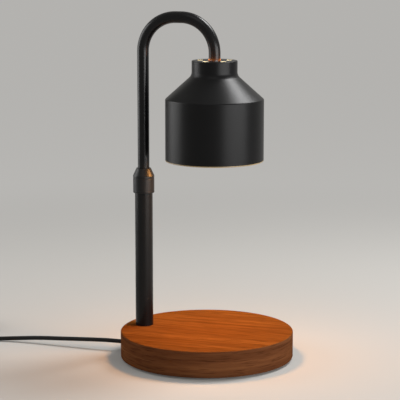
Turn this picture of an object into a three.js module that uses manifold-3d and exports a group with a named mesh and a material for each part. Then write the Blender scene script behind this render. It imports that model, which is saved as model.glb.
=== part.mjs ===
// Candle warmer lamp. A round wooden base carries a telescopic pole with a twist lock. The pole's
// arched arm holds a spun metal shade over a halogen reflector lamp, and the mains lead has a rotary
// dimmer and a two-blade plug. Millimetres, +Z up, origin at the middle of the base on the table.
import * as THREE from 'three';
import { mergeVertices } from 'three/addons/utils/BufferGeometryUtils.js';
import Module from 'manifold-3d';

const wasm = await Module();
wasm.setup();

// Fits
const fitGap = 0.3;         // clearance between pieces that fit into or over each other
const stopGap = 1.3;        // what is left at each end of the telescopic travel
const cutOverrun = 1;       // how far a cutting shape runs past the face it cuts

// Wooden base and what is under it
const baseRadius = 75;
const baseThickness = 22.6;
const baseEdgeRound = 0.9;
const footHeight = 1.8;
const footRadius = 6;
const footTaper = 0.5;
const footInset = 14;           // from the base's edge to a foot's middle
const footCount = 4;
const pocketRadius = 32;
const poleRecessRadius = 10.5;
const pocketRoof = 8;
const plateThickness = 1.5;
const plateMargin = 9;
const plateMarginAtPole = 3;
const plateScrewCount = 3;
const plateScrewInset = 4.5;

// Countersunk wood screw of the bottom plate
const plateScrewRadius = 1.45;
const plateScrewHeadRadius = 2.8;
const plateScrewLength = 9;

// Telescopic pole
const poleInset = 16.8;         // from the base's edge to the pole's axis
const lowerTubeRadius = 7.75;
const lowerTubeWall = 1;
const travelUp = 30;
const travelDown = 60;
const insertHeight = 12;
const studRadius = 5;
const studBoreRadius = 3.1;
const studEnd = 1;
const studNutFlats = 14;
const studNutHeight = 3.5;
const studWasherRadius = 9;
const studWasherThickness = 1.5;

// Twist lock
const colletShank = 8.2;
const colletFlange = 1.2;
const colletFingers = 7.4;
const colletSlotWidth = 0.8;
const colletSlotCount = 4;
const colletTipWall = 0.6;
const collarRadius = 9.25;
const collarTopRadius = 6.25;
const collarSkirt = 9.5;
const collarStraight = 15;
const collarCone = 6.6;
const collarLip = 0.8;
const collarEdgeRound = 0.4;

// Arched arm
const armTubeRadius = 5.05;
const armTubeWall = 0.8;
const armReach = 65;
const archRadius = 29.8;
const archDrop = 6.1;           // straight run between the arch and the shade
const bushLength = 15;
const bushLedge = 4;
const bushBoreRadius = 3.4;

// Spun shade
const shadeClearance = 149.4;   // from the base's top to the shade's rim at rest
const shadeRadius = 42.1;
const drumHeight = 52.8;
const coneHeight = 20.3;
const neckHeight = 12.5;
const neckRadius = 19.5;
const shadeWall = 1;
const rimRound = 0.4;
const shoulderRound = 1.7;
const neckRound = 6;
const capRound = 1.1;
const ventRadius = 2.5;
const ventCircleRadius = 13;
const ventCount = 5;

// Shade fixing and lamp holder
const nippleRadius = 3.9;
const nippleBoreRadius = 2.35;
const nippleBelowNut = 1.3;
const shadeWasherRadius = 7;
const shadeWasherThickness = 1;
const bracketWidth = 12;
const bracketThickness = 1.2;
const bracketLegMargin = 4;     // from a leg's screw to the leg's end
const shadeNutFlats = 13;
const shadeNutHeight = 4;
const holderDrop = 5.5;         // from the shade nut's underside to the holder's top
const holderRadius = 11.5;
const holderHeight = 18;
const holderEdgeRound = 1.2;
const holderShoulder = 5;
const holderShoulderRadius = 9;
const holderScrewRadius = 1.5;
const holderScrewHeadRadius = 2.6;
const holderScrewHead = 1.4;
const holderScrewDepth = 5;
const holderScrewDrop = 4;
const holderSocketDepth = 9;

// Halogen reflector lamp
const lampRadius = 25;
const lampLength = 47;
const lampBaseRadius = 11;
const lampBaseHeight = 15.5;
const lampBasePocket = 5;
const lampGlassWall = 1.3;
const reflectorNeckRadius = 9;
const reflectorRim = 3;
const reflectorLedge = 1.3;
const burnerBoreRadius = 5;
const burnerRadius = 4.6;
const burnerLength = 19;
const frontGlassThickness = 1.5;
const frontGlassInset = 0.6;
const lampPinSpacing = 10;
const lampPinRadius = 1.5;
const lampPinHeadRadius = 2.4;
const lampPinLength = 8;
const lampPinHead = 3;

// Mains lead and what holds it in the base
const cordRadius = 1.9;
const cordMouth = 3;            // how far inside the base's edge its free stretch starts
const cordLift = 0.05;          // between the lying lead and the table
const leadStraight = 5;         // straight run outside the dimmer
const cordExitSide = -6;        // beside the pole's line, so that the lead passes the nut
const cordExitHeight = 8.65;
const cordInsert = 4;           // how far the lead reaches into the dimmer
const clampLength = 8;
const clampWidth = 20;
const clampHeight = 5.5;
const clampFromTerminal = 13;
const clampScrewSpread = 6.5;
const clampScrewRadius = 1.3;
const clampScrewHeadRadius = 2.6;
const clampScrewHead = 1.6;
const clampScrewGrip = 5;
const terminalLength = 22;
const terminalWidth = 15;
const terminalHeight = 9.5;
const terminalStep = 3;
const terminalSide = -2;
const terminalPitch = 8;
const terminalPortRadius = 1.6;
const terminalScrewRadius = 1.7;
const terminalScrewLength = 4;
const coreRadius = 0.9;         // one core of the flat twin lead inside the lamp
const poleLeadLift = 3;         // above the bottom plate where it turns up into the pole
const poleLeadBend = 4.5;

// Coil of spare lead, which lies on its tie. Its place, and those of the dimmer and the plug, are
// measured from where the lead leaves the base.
const coilX = -189;
const coilY = 26;
const coilOuterRadius = 28;     // middle of the outermost turn
const coilTurns = 9.5;
const coilLayers = 4;
const coilGap = 0.55;           // between neighbouring turns
const coilTie = 0.8;
const coilStepsPerTurn = 24;
const coilSides = 6;
const climbTurns = 0.5;

// Rotary dimmer on the lead
const dimmerX = -221;
const dimmerY = -38;
const dimmerLength = 62;
const dimmerWidth = 27;
const dimmerHeight = 18;
const dimmerCorner = 9;
const dimmerEdge = 1.2;
const dimmerParting = 8;
const dimmerWall = 1.8;
const dialRadius = 11;
const dialHeight = 6;
const dialWell = 2;
const dialGrips = 20;
const dialGripDepth = 0.5;
const dialBoreDepth = 3;
const shaftRadius = 3;
const shaftLength = 8;
const boardLength = 33;
const boardWidth = 18;
const boardThickness = 1.6;
const boardPost = 2.2;
const boardPostRadius = 2;
const controlWidth = 15;
const controlHeight = 5;
const bossSpread = 22;
const bossRadius = 3.2;
const caseScrewRadius = 1.3;
const caseScrewHeadRadius = 2.4;
const caseScrewHead = 1.6;
const caseScrewGrip = 5;

// Two-blade plug
const plugX = -223.3;
const plugHeight = 15;
const plugWidth = 25;
const plugBody = 22;
const plugTaper = 8;
const plugEdge = 2;
const sleeveLength = 20;
const sleeveRadius = 4.6;
const sleeveEndRadius = 2.9;
const bladeSpacing = 12.7;
const bladeLength = 17;
const bladeWidth = 6.35;
const bladeThickness = 1.52;
const bladeRoot = 3;
const bladeHoleRadius = 1.6;
const bladeHoleInset = 4.5;

// Facets
const wideSides = 72;
const shadeSides = 48;
const collarSides = 36;
const tubeSides = 24;
const boreSides = 16;
const smallSides = 12;
const cordSides = 8;
const cordStep = 9.5;
const arcSteps = 3;
const singleFacet = 1.3;    // a rounding of less than this is one facet
const pointsPerGrip = 4;
const archSteps = 10;
const reflectorSteps = 5;
const routeSamples = 400;

// Heights of the main pieces at rest
const baseTop = footHeight + baseThickness;
const pocketCeiling = baseTop - pocketRoof;
const plateTop = footHeight + plateThickness;
const poleOffset = baseRadius - poleInset;
const lowerTubeLength =
  insertHeight + stopGap + travelDown + bushLength + travelUp + stopGap + colletShank;
const lowerTubeTop = baseTop + lowerTubeLength;
const lowerTubeBore = lowerTubeRadius - lowerTubeWall;
const colletBottom = lowerTubeTop - colletShank;
const bushTop = colletBottom - stopGap - travelUp;
const bushBottom = bushTop - bushLength;
const armTubeEnd = bushBottom + bushLedge + fitGap;
const armTubeBore = armTubeRadius - armTubeWall;
const shadeHeight = drumHeight + coneHeight + neckHeight;
const capTop = baseTop + shadeClearance + shadeHeight;
const archTop = capTop + archDrop + archRadius;

// Heights under the shade's cap, from the cap's top
const bracketTop = -shadeWall - shadeWasherThickness;
const bracketBottom = bracketTop - bracketThickness;
const shadeNutBottom = bracketBottom - shadeNutHeight;
const holderTop = shadeNutBottom - holderDrop;
const holderScrewHeight = holderTop - holderShoulder - holderScrewDrop;
const bracketFoot = holderScrewHeight - bracketLegMargin;
const holderBottom = holderTop - holderHeight;
const lampTop = holderBottom - fitGap;
const lampBaseBottom = lampTop - lampBaseHeight;
const lampSeat = lampBaseBottom + lampBasePocket;
const lampFace = lampTop - lampLength;

// Maker's materials
function finish(color, roughness, metalness) {
  return new THREE.MeshStandardMaterial({ color, roughness, metalness });
}

const walnut = () => finish('#8a4a22', 0.5, 0);
const blackPaint = () => finish('#1b1b1c', 0.38, 0.3);
const blackTube = () => finish('#202021', 0.3, 0.4);
const zincSteel = () => finish('#a9abad', 0.35, 1);
const brass = () => finish('#b8924a', 0.35, 1);
const blackRubber = () => finish('#161616', 0.85, 0);
const blackPlastic = () => finish('#1d1d1e', 0.5, 0);
const whitePlastic = () => finish('#d8d5cc', 0.5, 0);
const ceramic = () => finish('#e6e2d8', 0.6, 0);
const mirrorGlass = () => finish('#d9d4c6', 0.12, 0.8);
const clearGlass = () => finish('#f4ead2', 0.08, 0);
const boardGreen = () => finish('#23543a', 0.6, 0);
const silicone = () => finish('#c9c4b8', 0.7, 0);

// Solids from three.js geometry, joined and cut
function solidOf(geometry) {
  const bare = geometry.clone();
  bare.deleteAttribute('normal');
  bare.deleteAttribute('uv');
  const merged = mergeVertices(bare);
  const index = Array.from(merged.index.array);
  const triVerts = [];
  for (let i = 0; i < index.length; i += 3) {
    const [a, b, c] = index.slice(i, i + 3);
    if (a !== b && b !== c && c !== a) triVerts.push(a, b, c);
  }
  return new wasm.Manifold(new wasm.Mesh({
    numProp: 3,
    vertProperties: new Float32Array(merged.getAttribute('position').array),
    triVerts: new Uint32Array(triVerts),
  }));
}

function geometryOf(solid) {
  const { vertProperties, triVerts } = solid.getMesh();
  const geometry = new THREE.BufferGeometry();
  geometry.setAttribute('position', new THREE.BufferAttribute(vertProperties, 3));
  geometry.setIndex(new THREE.BufferAttribute(triVerts, 1));
  const faceted = geometry.toNonIndexed();
  faceted.computeVertexNormals();
  return faceted;
}

function cut(body, ...tools) {
  return geometryOf(tools.reduce((left, tool) => left.subtract(solidOf(tool)), solidOf(body)));
}

function join(...bodies) {
  return geometryOf(bodies.slice(1).reduce((sum, body) => sum.add(solidOf(body)), solidOf(bodies[0])));
}

function piece(name, geometry, material) {
  const mesh = new THREE.Mesh(geometry, material);
  mesh.name = name;
  return mesh;
}

// A solid of revolution about Z, from a profile of [radius, height] that goes up its outer side
function revolve(profile, sides) {
  const points = profile.map(([r, z]) => new THREE.Vector2(r, z));
  return new THREE.LatheGeometry(points, sides).rotateX(Math.PI / 2);
}

function rod(radius, z0, z1, sides = tubeSides) {
  return revolve([[0, z0], [radius, z0], [radius, z1], [0, z1]], sides);
}

function ring(inner, outer, z0, z1, sides = tubeSides) {
  return revolve([[inner, z0], [outer, z0], [outer, z1], [inner, z1], [inner, z0]], sides);
}

// A profile whose corners [radius, height, round] are turned into arcs
function rounded(corners) {
  const out = [];
  corners.forEach(([r, z, round = 0], i) => {
    if (!round || i === 0 || i === corners.length - 1) {
      out.push([r, z]);
      return;
    }
    const here = new THREE.Vector2(r, z);
    const back = new THREE.Vector2(...corners[i - 1].slice(0, 2)).sub(here).normalize();
    const ahead = new THREE.Vector2(...corners[i + 1].slice(0, 2)).sub(here).normalize();
    const half = Math.acos(back.dot(ahead)) / 2;
    const centre = back.clone().add(ahead).normalize().multiplyScalar(round / Math.sin(half)).add(here);
    const start = here.clone().addScaledVector(back, round / Math.tan(half)).sub(centre);
    const turn = (Math.PI - 2 * half) * Math.sign(back.x * ahead.y - back.y * ahead.x);
    const steps = round < singleFacet ? 1 : arcSteps;
    for (let k = 0; k <= steps; k++) {
      const p = start.clone().rotateAround(new THREE.Vector2(), (-turn * k) / steps).add(centre);
      out.push([p.x, p.y]);
    }
  });
  return out;
}

function slab(outline, z0, z1, curveSegments = arcSteps) {
  const options = { depth: z1 - z0, bevelEnabled: false, curveSegments };
  return new THREE.ExtrudeGeometry(outline, options).translate(0, 0, z0);
}

function circleOutline(radius, sides, x = 0, y = 0) {
  return Array.from({ length: sides }, (_, k) => {
    const angle = (2 * Math.PI * k) / sides;
    return new THREE.Vector2(x + radius * Math.cos(angle), y + radius * Math.sin(angle));
  });
}

function boxOutline(x0, x1, y0, y1) {
  return new THREE.Shape([[x0, y0], [x1, y0], [x1, y1], [x0, y1]].map((p) => new THREE.Vector2(...p)));
}

function roundedBoxOutline(length, width, corner) {
  const x = length / 2 - corner;
  const y = width / 2 - corner;
  const shape = new THREE.Shape();
  shape.absarc(x, -y, corner, -Math.PI / 2, 0, false);
  shape.absarc(x, y, corner, 0, Math.PI / 2, false);
  shape.absarc(-x, y, corner, Math.PI / 2, Math.PI, false);
  shape.absarc(-x, -y, corner, Math.PI, 1.5 * Math.PI, false);
  return shape;
}

// The outline of a belt round a large circle at the origin and a small one on the pole's axis
function beltOutline(large, small) {
  const lean = Math.acos((large - small) / poleOffset);
  const shape = new THREE.Shape();
  shape.absarc(0, 0, large, lean - Math.PI, Math.PI - lean, false);
  shape.absarc(-poleOffset, 0, small, Math.PI - lean, Math.PI + lean, false);
  return shape;
}

function hexNut(flats, bore, z0, z1) {
  const outline = new THREE.Shape(circleOutline(flats / Math.sqrt(3), 6));
  outline.holes.push(new THREE.Path(circleOutline(bore, tubeSides).reverse()));
  return slab(outline, z0, z1);
}

// A route that gives its own stations, so that straight runs need no steps between their ends
class StationRoute extends THREE.Curve {
  constructor(stations) {
    super();
    this.stations = stations;
  }

  at(t, key, target) {
    const last = this.stations.length - 1;
    const k = Math.min(Math.floor(t * last + 1e-6), last - 1);
    return target.lerpVectors(this.stations[k][key], this.stations[k + 1][key], t * last - k);
  }

  getPoint(t, target = new THREE.Vector3()) {
    return this.at(t, 'point', target);
  }

  getTangent(t, target = new THREE.Vector3()) {
    return this.at(t, 'tangent', target).normalize();
  }

  getUtoTmapping(u) {
    return u;
  }
}

function sweep(outline, route, steps) {
  return new THREE.ExtrudeGeometry(outline, { extrudePath: route, steps, bevelEnabled: false });
}

function smoothRoute(points) {
  const route = new THREE.CatmullRomCurve3(points.map((p) => new THREE.Vector3(...p)), false, 'centripetal');
  route.arcLengthDivisions = routeSamples;
  return route;
}

function sweepThrough(outline, points) {
  const route = smoothRoute(points);
  const last = points.length - 1;
  const stations = points.map((_, k) => ({
    point: route.getPoint(k / last),
    tangent: route.getTangent(k / last),
  }));
  return sweep(outline, new StationRoute(stations), last);
}

function cordOutline() {
  return new THREE.Shape(circleOutline(cordRadius, cordSides));
}

// Wooden base: a turned disc with a routed pocket, a rebate for its cover and the lead's hole
function woodBase() {
  const blank = revolve(rounded([
    [0, footHeight],
    [baseRadius, footHeight, baseEdgeRound],
    [baseRadius, baseTop, baseEdgeRound],
    [0, baseTop],
  ]), wideSides);
  const pocket = slab(
    beltOutline(pocketRadius, poleRecessRadius), footHeight - cutOverrun, pocketCeiling, smallSides,
  );
  const rebate = slab(
    beltOutline(pocketRadius + plateMargin + fitGap, poleRecessRadius + plateMarginAtPole + fitGap),
    footHeight - cutOverrun,
    plateTop,
    smallSides,
  );
  const studHole = rod(studRadius + fitGap, pocketCeiling - cutOverrun, baseTop + cutOverrun);
  studHole.translate(-poleOffset, 0, 0);
  const cordHole = rod(cordRadius + fitGap, 0, baseRadius + cutOverrun - poleOffset, smallSides);
  cordHole.rotateY(-Math.PI / 2).translate(-poleOffset, cordExitSide, cordExitHeight);
  const pilots = plateScrewPlaces().map(([x, y]) => rod(
    plateScrewRadius + fitGap, plateTop - cutOverrun, plateTop + plateScrewLength, cordSides,
  ).translate(x, y, 0));
  const clampPilots = clampScrewPlaces().map(([x, y]) => rod(
    clampScrewRadius + fitGap, pocketCeiling - cutOverrun, pocketCeiling + clampScrewGrip + fitGap, cordSides,
  ).translate(x, y, 0));
  return cut(blank, pocket, rebate, studHole, cordHole, ...pilots, ...clampPilots);
}

function plateScrewPlaces() {
  return Array.from({ length: plateScrewCount }, (_, k) => {
    const angle = (2 * Math.PI * k) / plateScrewCount;
    const reach = pocketRadius + plateScrewInset;
    return [reach * Math.cos(angle), reach * Math.sin(angle)];
  });
}

// Countersunk head, widest at the plate's underside, over a shank
function plateScrew(grow = 0, z0 = footHeight) {
  const head = plateScrewHeadRadius + grow;
  const shank = plateScrewRadius + grow;
  const depth = head - shank;
  return revolve([
    [0, z0],
    [head, z0],
    [shank, z0 + depth],
    [shank, footHeight + plateScrewLength],
    [0, footHeight + plateScrewLength],
  ], cordSides);
}

function bottomPlate() {
  const plate = slab(
    beltOutline(pocketRadius + plateMargin, poleRecessRadius + plateMarginAtPole),
    footHeight,
    plateTop,
    smallSides,
  );
  const holes = plateScrewPlaces().map(([x, y]) => plateScrew(fitGap).translate(x, y, 0));
  return cut(plate, ...holes);
}

function foot() {
  return revolve(rounded([
    [0, 0],
    [footRadius - footTaper, 0, footTaper],
    [footRadius, footHeight],
    [0, footHeight],
  ]), boreSides);
}

// What holds the lead inside the base
const clampX = -terminalLength / 2 - clampFromTerminal - clampLength / 2;
const clampCordHeight = pocketCeiling - cordRadius - fitGap;
const terminalMiddle = pocketCeiling - terminalHeight / 2;

function clampScrewPlaces() {
  return [-1, 1].map((side) => [clampX, cordExitSide + side * clampScrewSpread]);
}

function cordClamp() {
  const x0 = clampX - clampLength / 2;
  const y0 = cordExitSide - clampWidth / 2;
  const block = slab(
    boxOutline(x0, x0 + clampLength, y0, y0 + clampWidth),
    pocketCeiling - clampHeight,
    pocketCeiling,
  );
  const groove = join(
    rod(cordRadius + fitGap, -clampLength, clampLength, smallSides)
      .rotateY(Math.PI / 2).translate(clampX, cordExitSide, clampCordHeight),
    slab(
      boxOutline(
        x0 - cutOverrun, x0 + clampLength + cutOverrun,
        cordExitSide - cordRadius - fitGap, cordExitSide + cordRadius + fitGap,
      ),
      clampCordHeight,
      pocketCeiling + cutOverrun,
    ),
  );
  const z0 = pocketCeiling - clampHeight - cutOverrun;
  const holes = clampScrewPlaces().map(([x, y]) => (
    rod(clampScrewRadius + fitGap, z0, pocketCeiling + cutOverrun, cordSides).translate(x, y, 0)
  ));
  return cut(block, groove, ...holes);
}

// A pan-head screw that points up, its head's upper face at z0
function panScrew(radius, headRadius, head, shank, z0) {
  return revolve([
    [0, z0 - head], [headRadius - head / 2, z0 - head], [headRadius, z0 - head / 2],
    [headRadius, z0], [radius, z0], [radius, z0 + shank], [0, z0 + shank],
  ], smallSides);
}

function terminalPorts() {
  return [-1, 1].map((side) => terminalSide + (side * terminalPitch) / 2);
}

function terminalBlock() {
  const bottom = pocketCeiling - terminalHeight;
  const half = terminalLength / 2;
  const outline = new THREE.Shape([
    [-half, pocketCeiling], [-half, bottom + terminalStep], [terminalStep - half, bottom],
    [half - terminalStep, bottom], [half, bottom + terminalStep], [half, pocketCeiling],
  ].map((p) => new THREE.Vector2(...p)));
  const body = new THREE.ExtrudeGeometry(outline, { depth: terminalWidth, bevelEnabled: false });
  body.rotateX(Math.PI / 2).translate(0, terminalSide + terminalWidth / 2, 0);
  const ports = terminalPorts().map((y) => rod(
    terminalPortRadius, -half - cutOverrun, half + cutOverrun, cordSides,
  ).rotateY(Math.PI / 2).translate(0, y, terminalMiddle));
  const wells = terminalPorts().map((y) => rod(
    terminalScrewRadius + fitGap, bottom - cutOverrun, terminalMiddle, cordSides,
  ).translate(0, y, 0));
  return cut(body, ...ports, ...wells);
}

function terminalScrew() {
  const bottom = pocketCeiling - terminalHeight;
  return rod(terminalScrewRadius, bottom, bottom + terminalScrewLength, cordSides);
}

const baseGroup = new THREE.Group();
baseGroup.add(
  piece('wood_base', woodBase(), walnut()),
  piece('bottom_plate', bottomPlate(), blackPaint()),
  piece('cord_clamp', cordClamp(), whitePlastic()),
  piece('terminal_block', terminalBlock(), whitePlastic()),
);
for (let k = 0; k < footCount; k++) {
  const angle = (2 * Math.PI * (k + 0.5)) / footCount;
  const mesh = piece(`foot_${k + 1}`, foot(), blackRubber());
  const reach = baseRadius - footInset;
  mesh.position.set(reach * Math.cos(angle), reach * Math.sin(angle), 0);
  baseGroup.add(mesh);
}
plateScrewPlaces().forEach(([x, y], k) => {
  const mesh = piece(`plate_screw_${k + 1}`, plateScrew(), zincSteel());
  mesh.position.set(x, y, 0);
  baseGroup.add(mesh);
});
clampScrewPlaces().forEach(([x, y], k) => {
  const shank = clampHeight + clampScrewGrip;
  const screw = panScrew(
    clampScrewRadius, clampScrewHeadRadius, clampScrewHead, shank, pocketCeiling - clampHeight,
  );
  const mesh = piece(`clamp_screw_${k + 1}`, screw, zincSteel());
  mesh.position.set(x, y, 0);
  baseGroup.add(mesh);
});
terminalPorts().forEach((y, k) => {
  const mesh = piece(`terminal_screw_${k + 1}`, terminalScrew(), brass());
  mesh.position.set(0, y, 0);
  baseGroup.add(mesh);
});

// Pole: the fixed lower tube, bolted through the wood by a hollow stud
const washerTop = pocketCeiling;
const nutTop = washerTop - studWasherThickness;
const nutBottom = nutTop - studNutHeight;
const studBottom = nutBottom - studEnd;

// The twist lock's collar, whose cone squeezes the collet onto the arm
const collarBottom = lowerTubeTop - collarSkirt;
const collarEdge = collarBottom + collarStraight;
const collarTop = collarEdge + collarCone;
const collarBore = lowerTubeRadius + fitGap;
const collarTopBore = armTubeRadius + fitGap;
const innerConeBottom = lowerTubeTop + colletFlange + fitGap;
const innerConeTop = collarTop - collarLip;

function lockCollar() {
  return revolve(rounded([
    [collarBore, collarBottom],
    [collarRadius, collarBottom, collarEdgeRound],
    [collarRadius, collarEdge, collarEdgeRound],
    [collarTopRadius, collarTop, collarEdgeRound],
    [collarTopBore, collarTop],
    [collarTopBore, innerConeTop],
    [collarBore, innerConeBottom],
    [collarBore, collarBottom],
  ]), collarSides);
}

function collet() {
  const inner = armTubeRadius + fitGap;
  const slope = (collarBore - collarTopBore) / (innerConeTop - innerConeBottom);
  const fingerBottom = lowerTubeTop + colletFlange;
  const fingerTop = fingerBottom + colletFingers;
  const outerAt = (z) => collarBore - fitGap - slope * Math.max(z - innerConeBottom, 0);
  const tip = Math.max(outerAt(fingerTop), inner + colletTipWall);
  const body = revolve([
    [inner, colletBottom],
    [lowerTubeBore - fitGap, colletBottom],
    [lowerTubeBore - fitGap, lowerTubeTop],
    [outerAt(lowerTubeTop), lowerTubeTop],
    [outerAt(fingerBottom), fingerBottom],
    [tip, fingerTop],
    [inner, fingerTop],
    [inner, colletBottom],
  ], tubeSides);
  const slots = Array.from({ length: colletSlotCount / 2 }, (_, k) => slab(
    boxOutline(-lowerTubeRadius, lowerTubeRadius, -colletSlotWidth / 2, colletSlotWidth / 2),
    fingerBottom,
    fingerTop + cutOverrun,
  ).rotateZ((2 * Math.PI * (k + 0.5)) / colletSlotCount));
  return cut(body, ...slots);
}

const poleGroup = new THREE.Group();
poleGroup.position.x = -poleOffset;
poleGroup.add(
  piece('lower_tube', ring(lowerTubeBore, lowerTubeRadius, baseTop, lowerTubeTop, collarSides), blackTube()),
  piece(
    'tube_insert',
    ring(studRadius + fitGap, lowerTubeBore - fitGap, baseTop, baseTop + insertHeight),
    zincSteel(),
  ),
  piece(
    'hollow_stud',
    ring(studBoreRadius, studRadius, studBottom, baseTop + insertHeight - studEnd),
    zincSteel(),
  ),
  piece('stud_washer', ring(studRadius + fitGap, studWasherRadius, nutTop, washerTop), zincSteel()),
  piece('stud_nut', hexNut(studNutFlats, studRadius + fitGap, nutBottom, nutTop), zincSteel()),
  piece('collet', collet(), whitePlastic()),
  piece('lock_collar', lockCollar(), blackTube()),
);

// Guide bush on the arm's lower end, which slides in the lower tube
function guideBush() {
  return revolve([
    [bushBoreRadius, bushBottom],
    [lowerTubeBore - fitGap, bushBottom],
    [lowerTubeBore - fitGap, bushTop],
    [armTubeRadius + fitGap, bushTop],
    [armTubeRadius + fitGap, bushBottom + bushLedge],
    [bushBoreRadius, bushBottom + bushLedge],
    [bushBoreRadius, bushBottom],
  ], tubeSides);
}

// The arm's centre line: straight up, two quarter bends with a short run between, and down
function armStations(start, end) {
  const up = new THREE.Vector3(0, 0, 1);
  const along = new THREE.Vector3(1, 0, 0);
  const down = up.clone().negate();
  const bendHeight = archTop - archRadius;
  const stations = [{ point: new THREE.Vector3(0, 0, start), tangent: up }];
  const bend = (centreX, from, to) => {
    for (let k = 0; k <= archSteps; k++) {
      const angle = from + ((to - from) * k) / archSteps;
      const out = new THREE.Vector3(Math.cos(angle), 0, Math.sin(angle));
      stations.push({
        point: out.clone().multiplyScalar(archRadius).add(new THREE.Vector3(centreX, 0, bendHeight)),
        tangent: new THREE.Vector3(out.z, 0, -out.x),
      });
    }
  };
  bend(archRadius, Math.PI, Math.PI / 2);
  stations[stations.length - 1].tangent = along;
  bend(armReach - archRadius, Math.PI / 2, 0);
  stations.push({ point: new THREE.Vector3(armReach, 0, end), tangent: down });
  return stations;
}

function armTube() {
  const stations = armStations(armTubeEnd, capTop + fitGap);
  const outline = new THREE.Shape(circleOutline(armTubeRadius, tubeSides));
  outline.holes.push(new THREE.Path(circleOutline(armTubeBore, smallSides).reverse()));
  return sweep(outline, new StationRoute(stations), stations.length - 1);
}

// Flat twin lead: two round cores side by side
function twinOutline() {
  const shape = new THREE.Shape();
  shape.absarc(coreRadius, 0, coreRadius, -Math.PI / 2, Math.PI / 2, false);
  shape.absarc(-coreRadius, 0, coreRadius, Math.PI / 2, 1.5 * Math.PI, false);
  return new THREE.Shape(shape.getPoints(arcSteps - 1));
}

function armLead() {
  const stations = armStations(bushBottom, capTop + holderTop + fitGap);
  return sweep(twinOutline(), new StationRoute(stations), stations.length - 1);
}

// Shade: an offset shell of one spun profile, open below, with vents round its fixing hole
function shadeCorners() {
  return [
    [shadeRadius, -shadeHeight, rimRound],
    [shadeRadius, drumHeight - shadeHeight, shoulderRound],
    [neckRadius, -neckHeight, neckRound],
    [neckRadius, 0, capRound],
  ];
}

function insideOf([rim, shoulder, neck, cap]) {
  const lean = Math.atan2(shadeRadius - neckRadius, coneHeight);
  const shift = shadeWall * Math.tan(lean / 2);
  return [
    [rim[0] - shadeWall, rim[1], rimRound],
    [shoulder[0] - shadeWall, shoulder[1] - shift, shoulderRound - shadeWall],
    [neck[0] - shadeWall, neck[1] - shift, neckRound + shadeWall],
    [cap[0] - shadeWall, cap[1] - shadeWall],
  ];
}

function shade() {
  const outer = shadeCorners();
  const hole = nippleRadius + fitGap;
  const start = [hole, -shadeWall];
  const profile = [start, ...insideOf(outer).reverse(), ...outer, [hole, 0], start];
  const shell = revolve(rounded(profile), shadeSides);
  const vents = Array.from({ length: ventCount }, (_, k) => {
    const angle = Math.PI + (2 * Math.PI * k) / ventCount;
    return rod(ventRadius, -shadeWall - cutOverrun, cutOverrun, smallSides)
      .translate(ventCircleRadius * Math.cos(angle), ventCircleRadius * Math.sin(angle), 0);
  });
  return cut(shell, ...vents);
}

// The holder hangs from the fixing nut in a bent strip, held by a screw in each leg
function holderBracket() {
  const inner = holderRadius + fitGap;
  const outer = inner + bracketThickness;
  const outline = new THREE.Shape([
    [-outer, bracketFoot], [-inner, bracketFoot], [-inner, bracketBottom], [inner, bracketBottom],
    [inner, bracketFoot], [outer, bracketFoot], [outer, bracketTop], [-outer, bracketTop],
  ].map((p) => new THREE.Vector2(...p)));
  const strip = new THREE.ExtrudeGeometry(outline, { depth: bracketWidth, bevelEnabled: false });
  strip.rotateX(Math.PI / 2).translate(0, bracketWidth / 2, 0);
  const hole = rod(nippleRadius + fitGap, bracketBottom - cutOverrun, bracketTop + cutOverrun);
  const screwHole = rod(holderScrewRadius + fitGap, -outer - cutOverrun, outer + cutOverrun, smallSides)
    .rotateY(Math.PI / 2).translate(0, 0, holderScrewHeight);
  return cut(strip, hole, screwHole).rotateZ(Math.PI / 2);
}

function lampHolder() {
  const body = revolve(rounded([
    [0, holderBottom],
    [holderRadius, holderBottom, holderEdgeRound],
    [holderRadius, holderTop - holderShoulder, holderEdgeRound],
    [holderShoulderRadius, holderTop - holderShoulder],
    [holderShoulderRadius, holderTop, holderEdgeRound],
    [0, holderTop],
  ]), tubeSides);
  const sockets = [-1, 1].map((side) => rod(
    lampPinHeadRadius + fitGap, holderBottom - cutOverrun, holderBottom + holderSocketDepth, smallSides,
  ).translate((side * lampPinSpacing) / 2, 0, 0));
  const deep = holderRadius - holderScrewDepth - fitGap;
  const screwHoles = [-1, 1].map((side) => (
    rod(holderScrewRadius + fitGap, deep, holderRadius + cutOverrun, smallSides)
      .rotateX((-side * Math.PI) / 2).translate(0, 0, holderScrewHeight)
  ));
  return cut(body, ...sockets, ...screwHoles);
}

// A screw whose head bears on the bracket's leg and whose shank points at the holder's axis
function holderScrew(side) {
  const seat = holderRadius + bracketThickness + 2 * fitGap;
  const screw = panScrew(
    holderScrewRadius, holderScrewHeadRadius, holderScrewHead, seat - holderRadius + holderScrewDepth, 0,
  );
  return screw.rotateX((side * Math.PI) / 2).translate(0, side * seat, holderScrewHeight);
}

// Halogen reflector lamp: ceramic base, pressed glass reflector, burner and front glass
function lampBase() {
  const body = revolve(rounded([
    [0, lampBaseBottom],
    [lampBaseRadius, lampBaseBottom, holderEdgeRound],
    [lampBaseRadius, lampTop, holderEdgeRound],
    [0, lampTop],
  ]), tubeSides);
  return cut(body, rod(reflectorNeckRadius + fitGap, lampBaseBottom - cutOverrun, lampSeat));
}

function reflectorCurve(neck, mouth, top, bottom) {
  return Array.from({ length: reflectorSteps + 1 }, (_, k) => {
    const share = k / reflectorSteps;
    return [neck + (mouth - neck) * Math.sin((share * Math.PI) / 2), top + (bottom - top) * share];
  });
}

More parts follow.
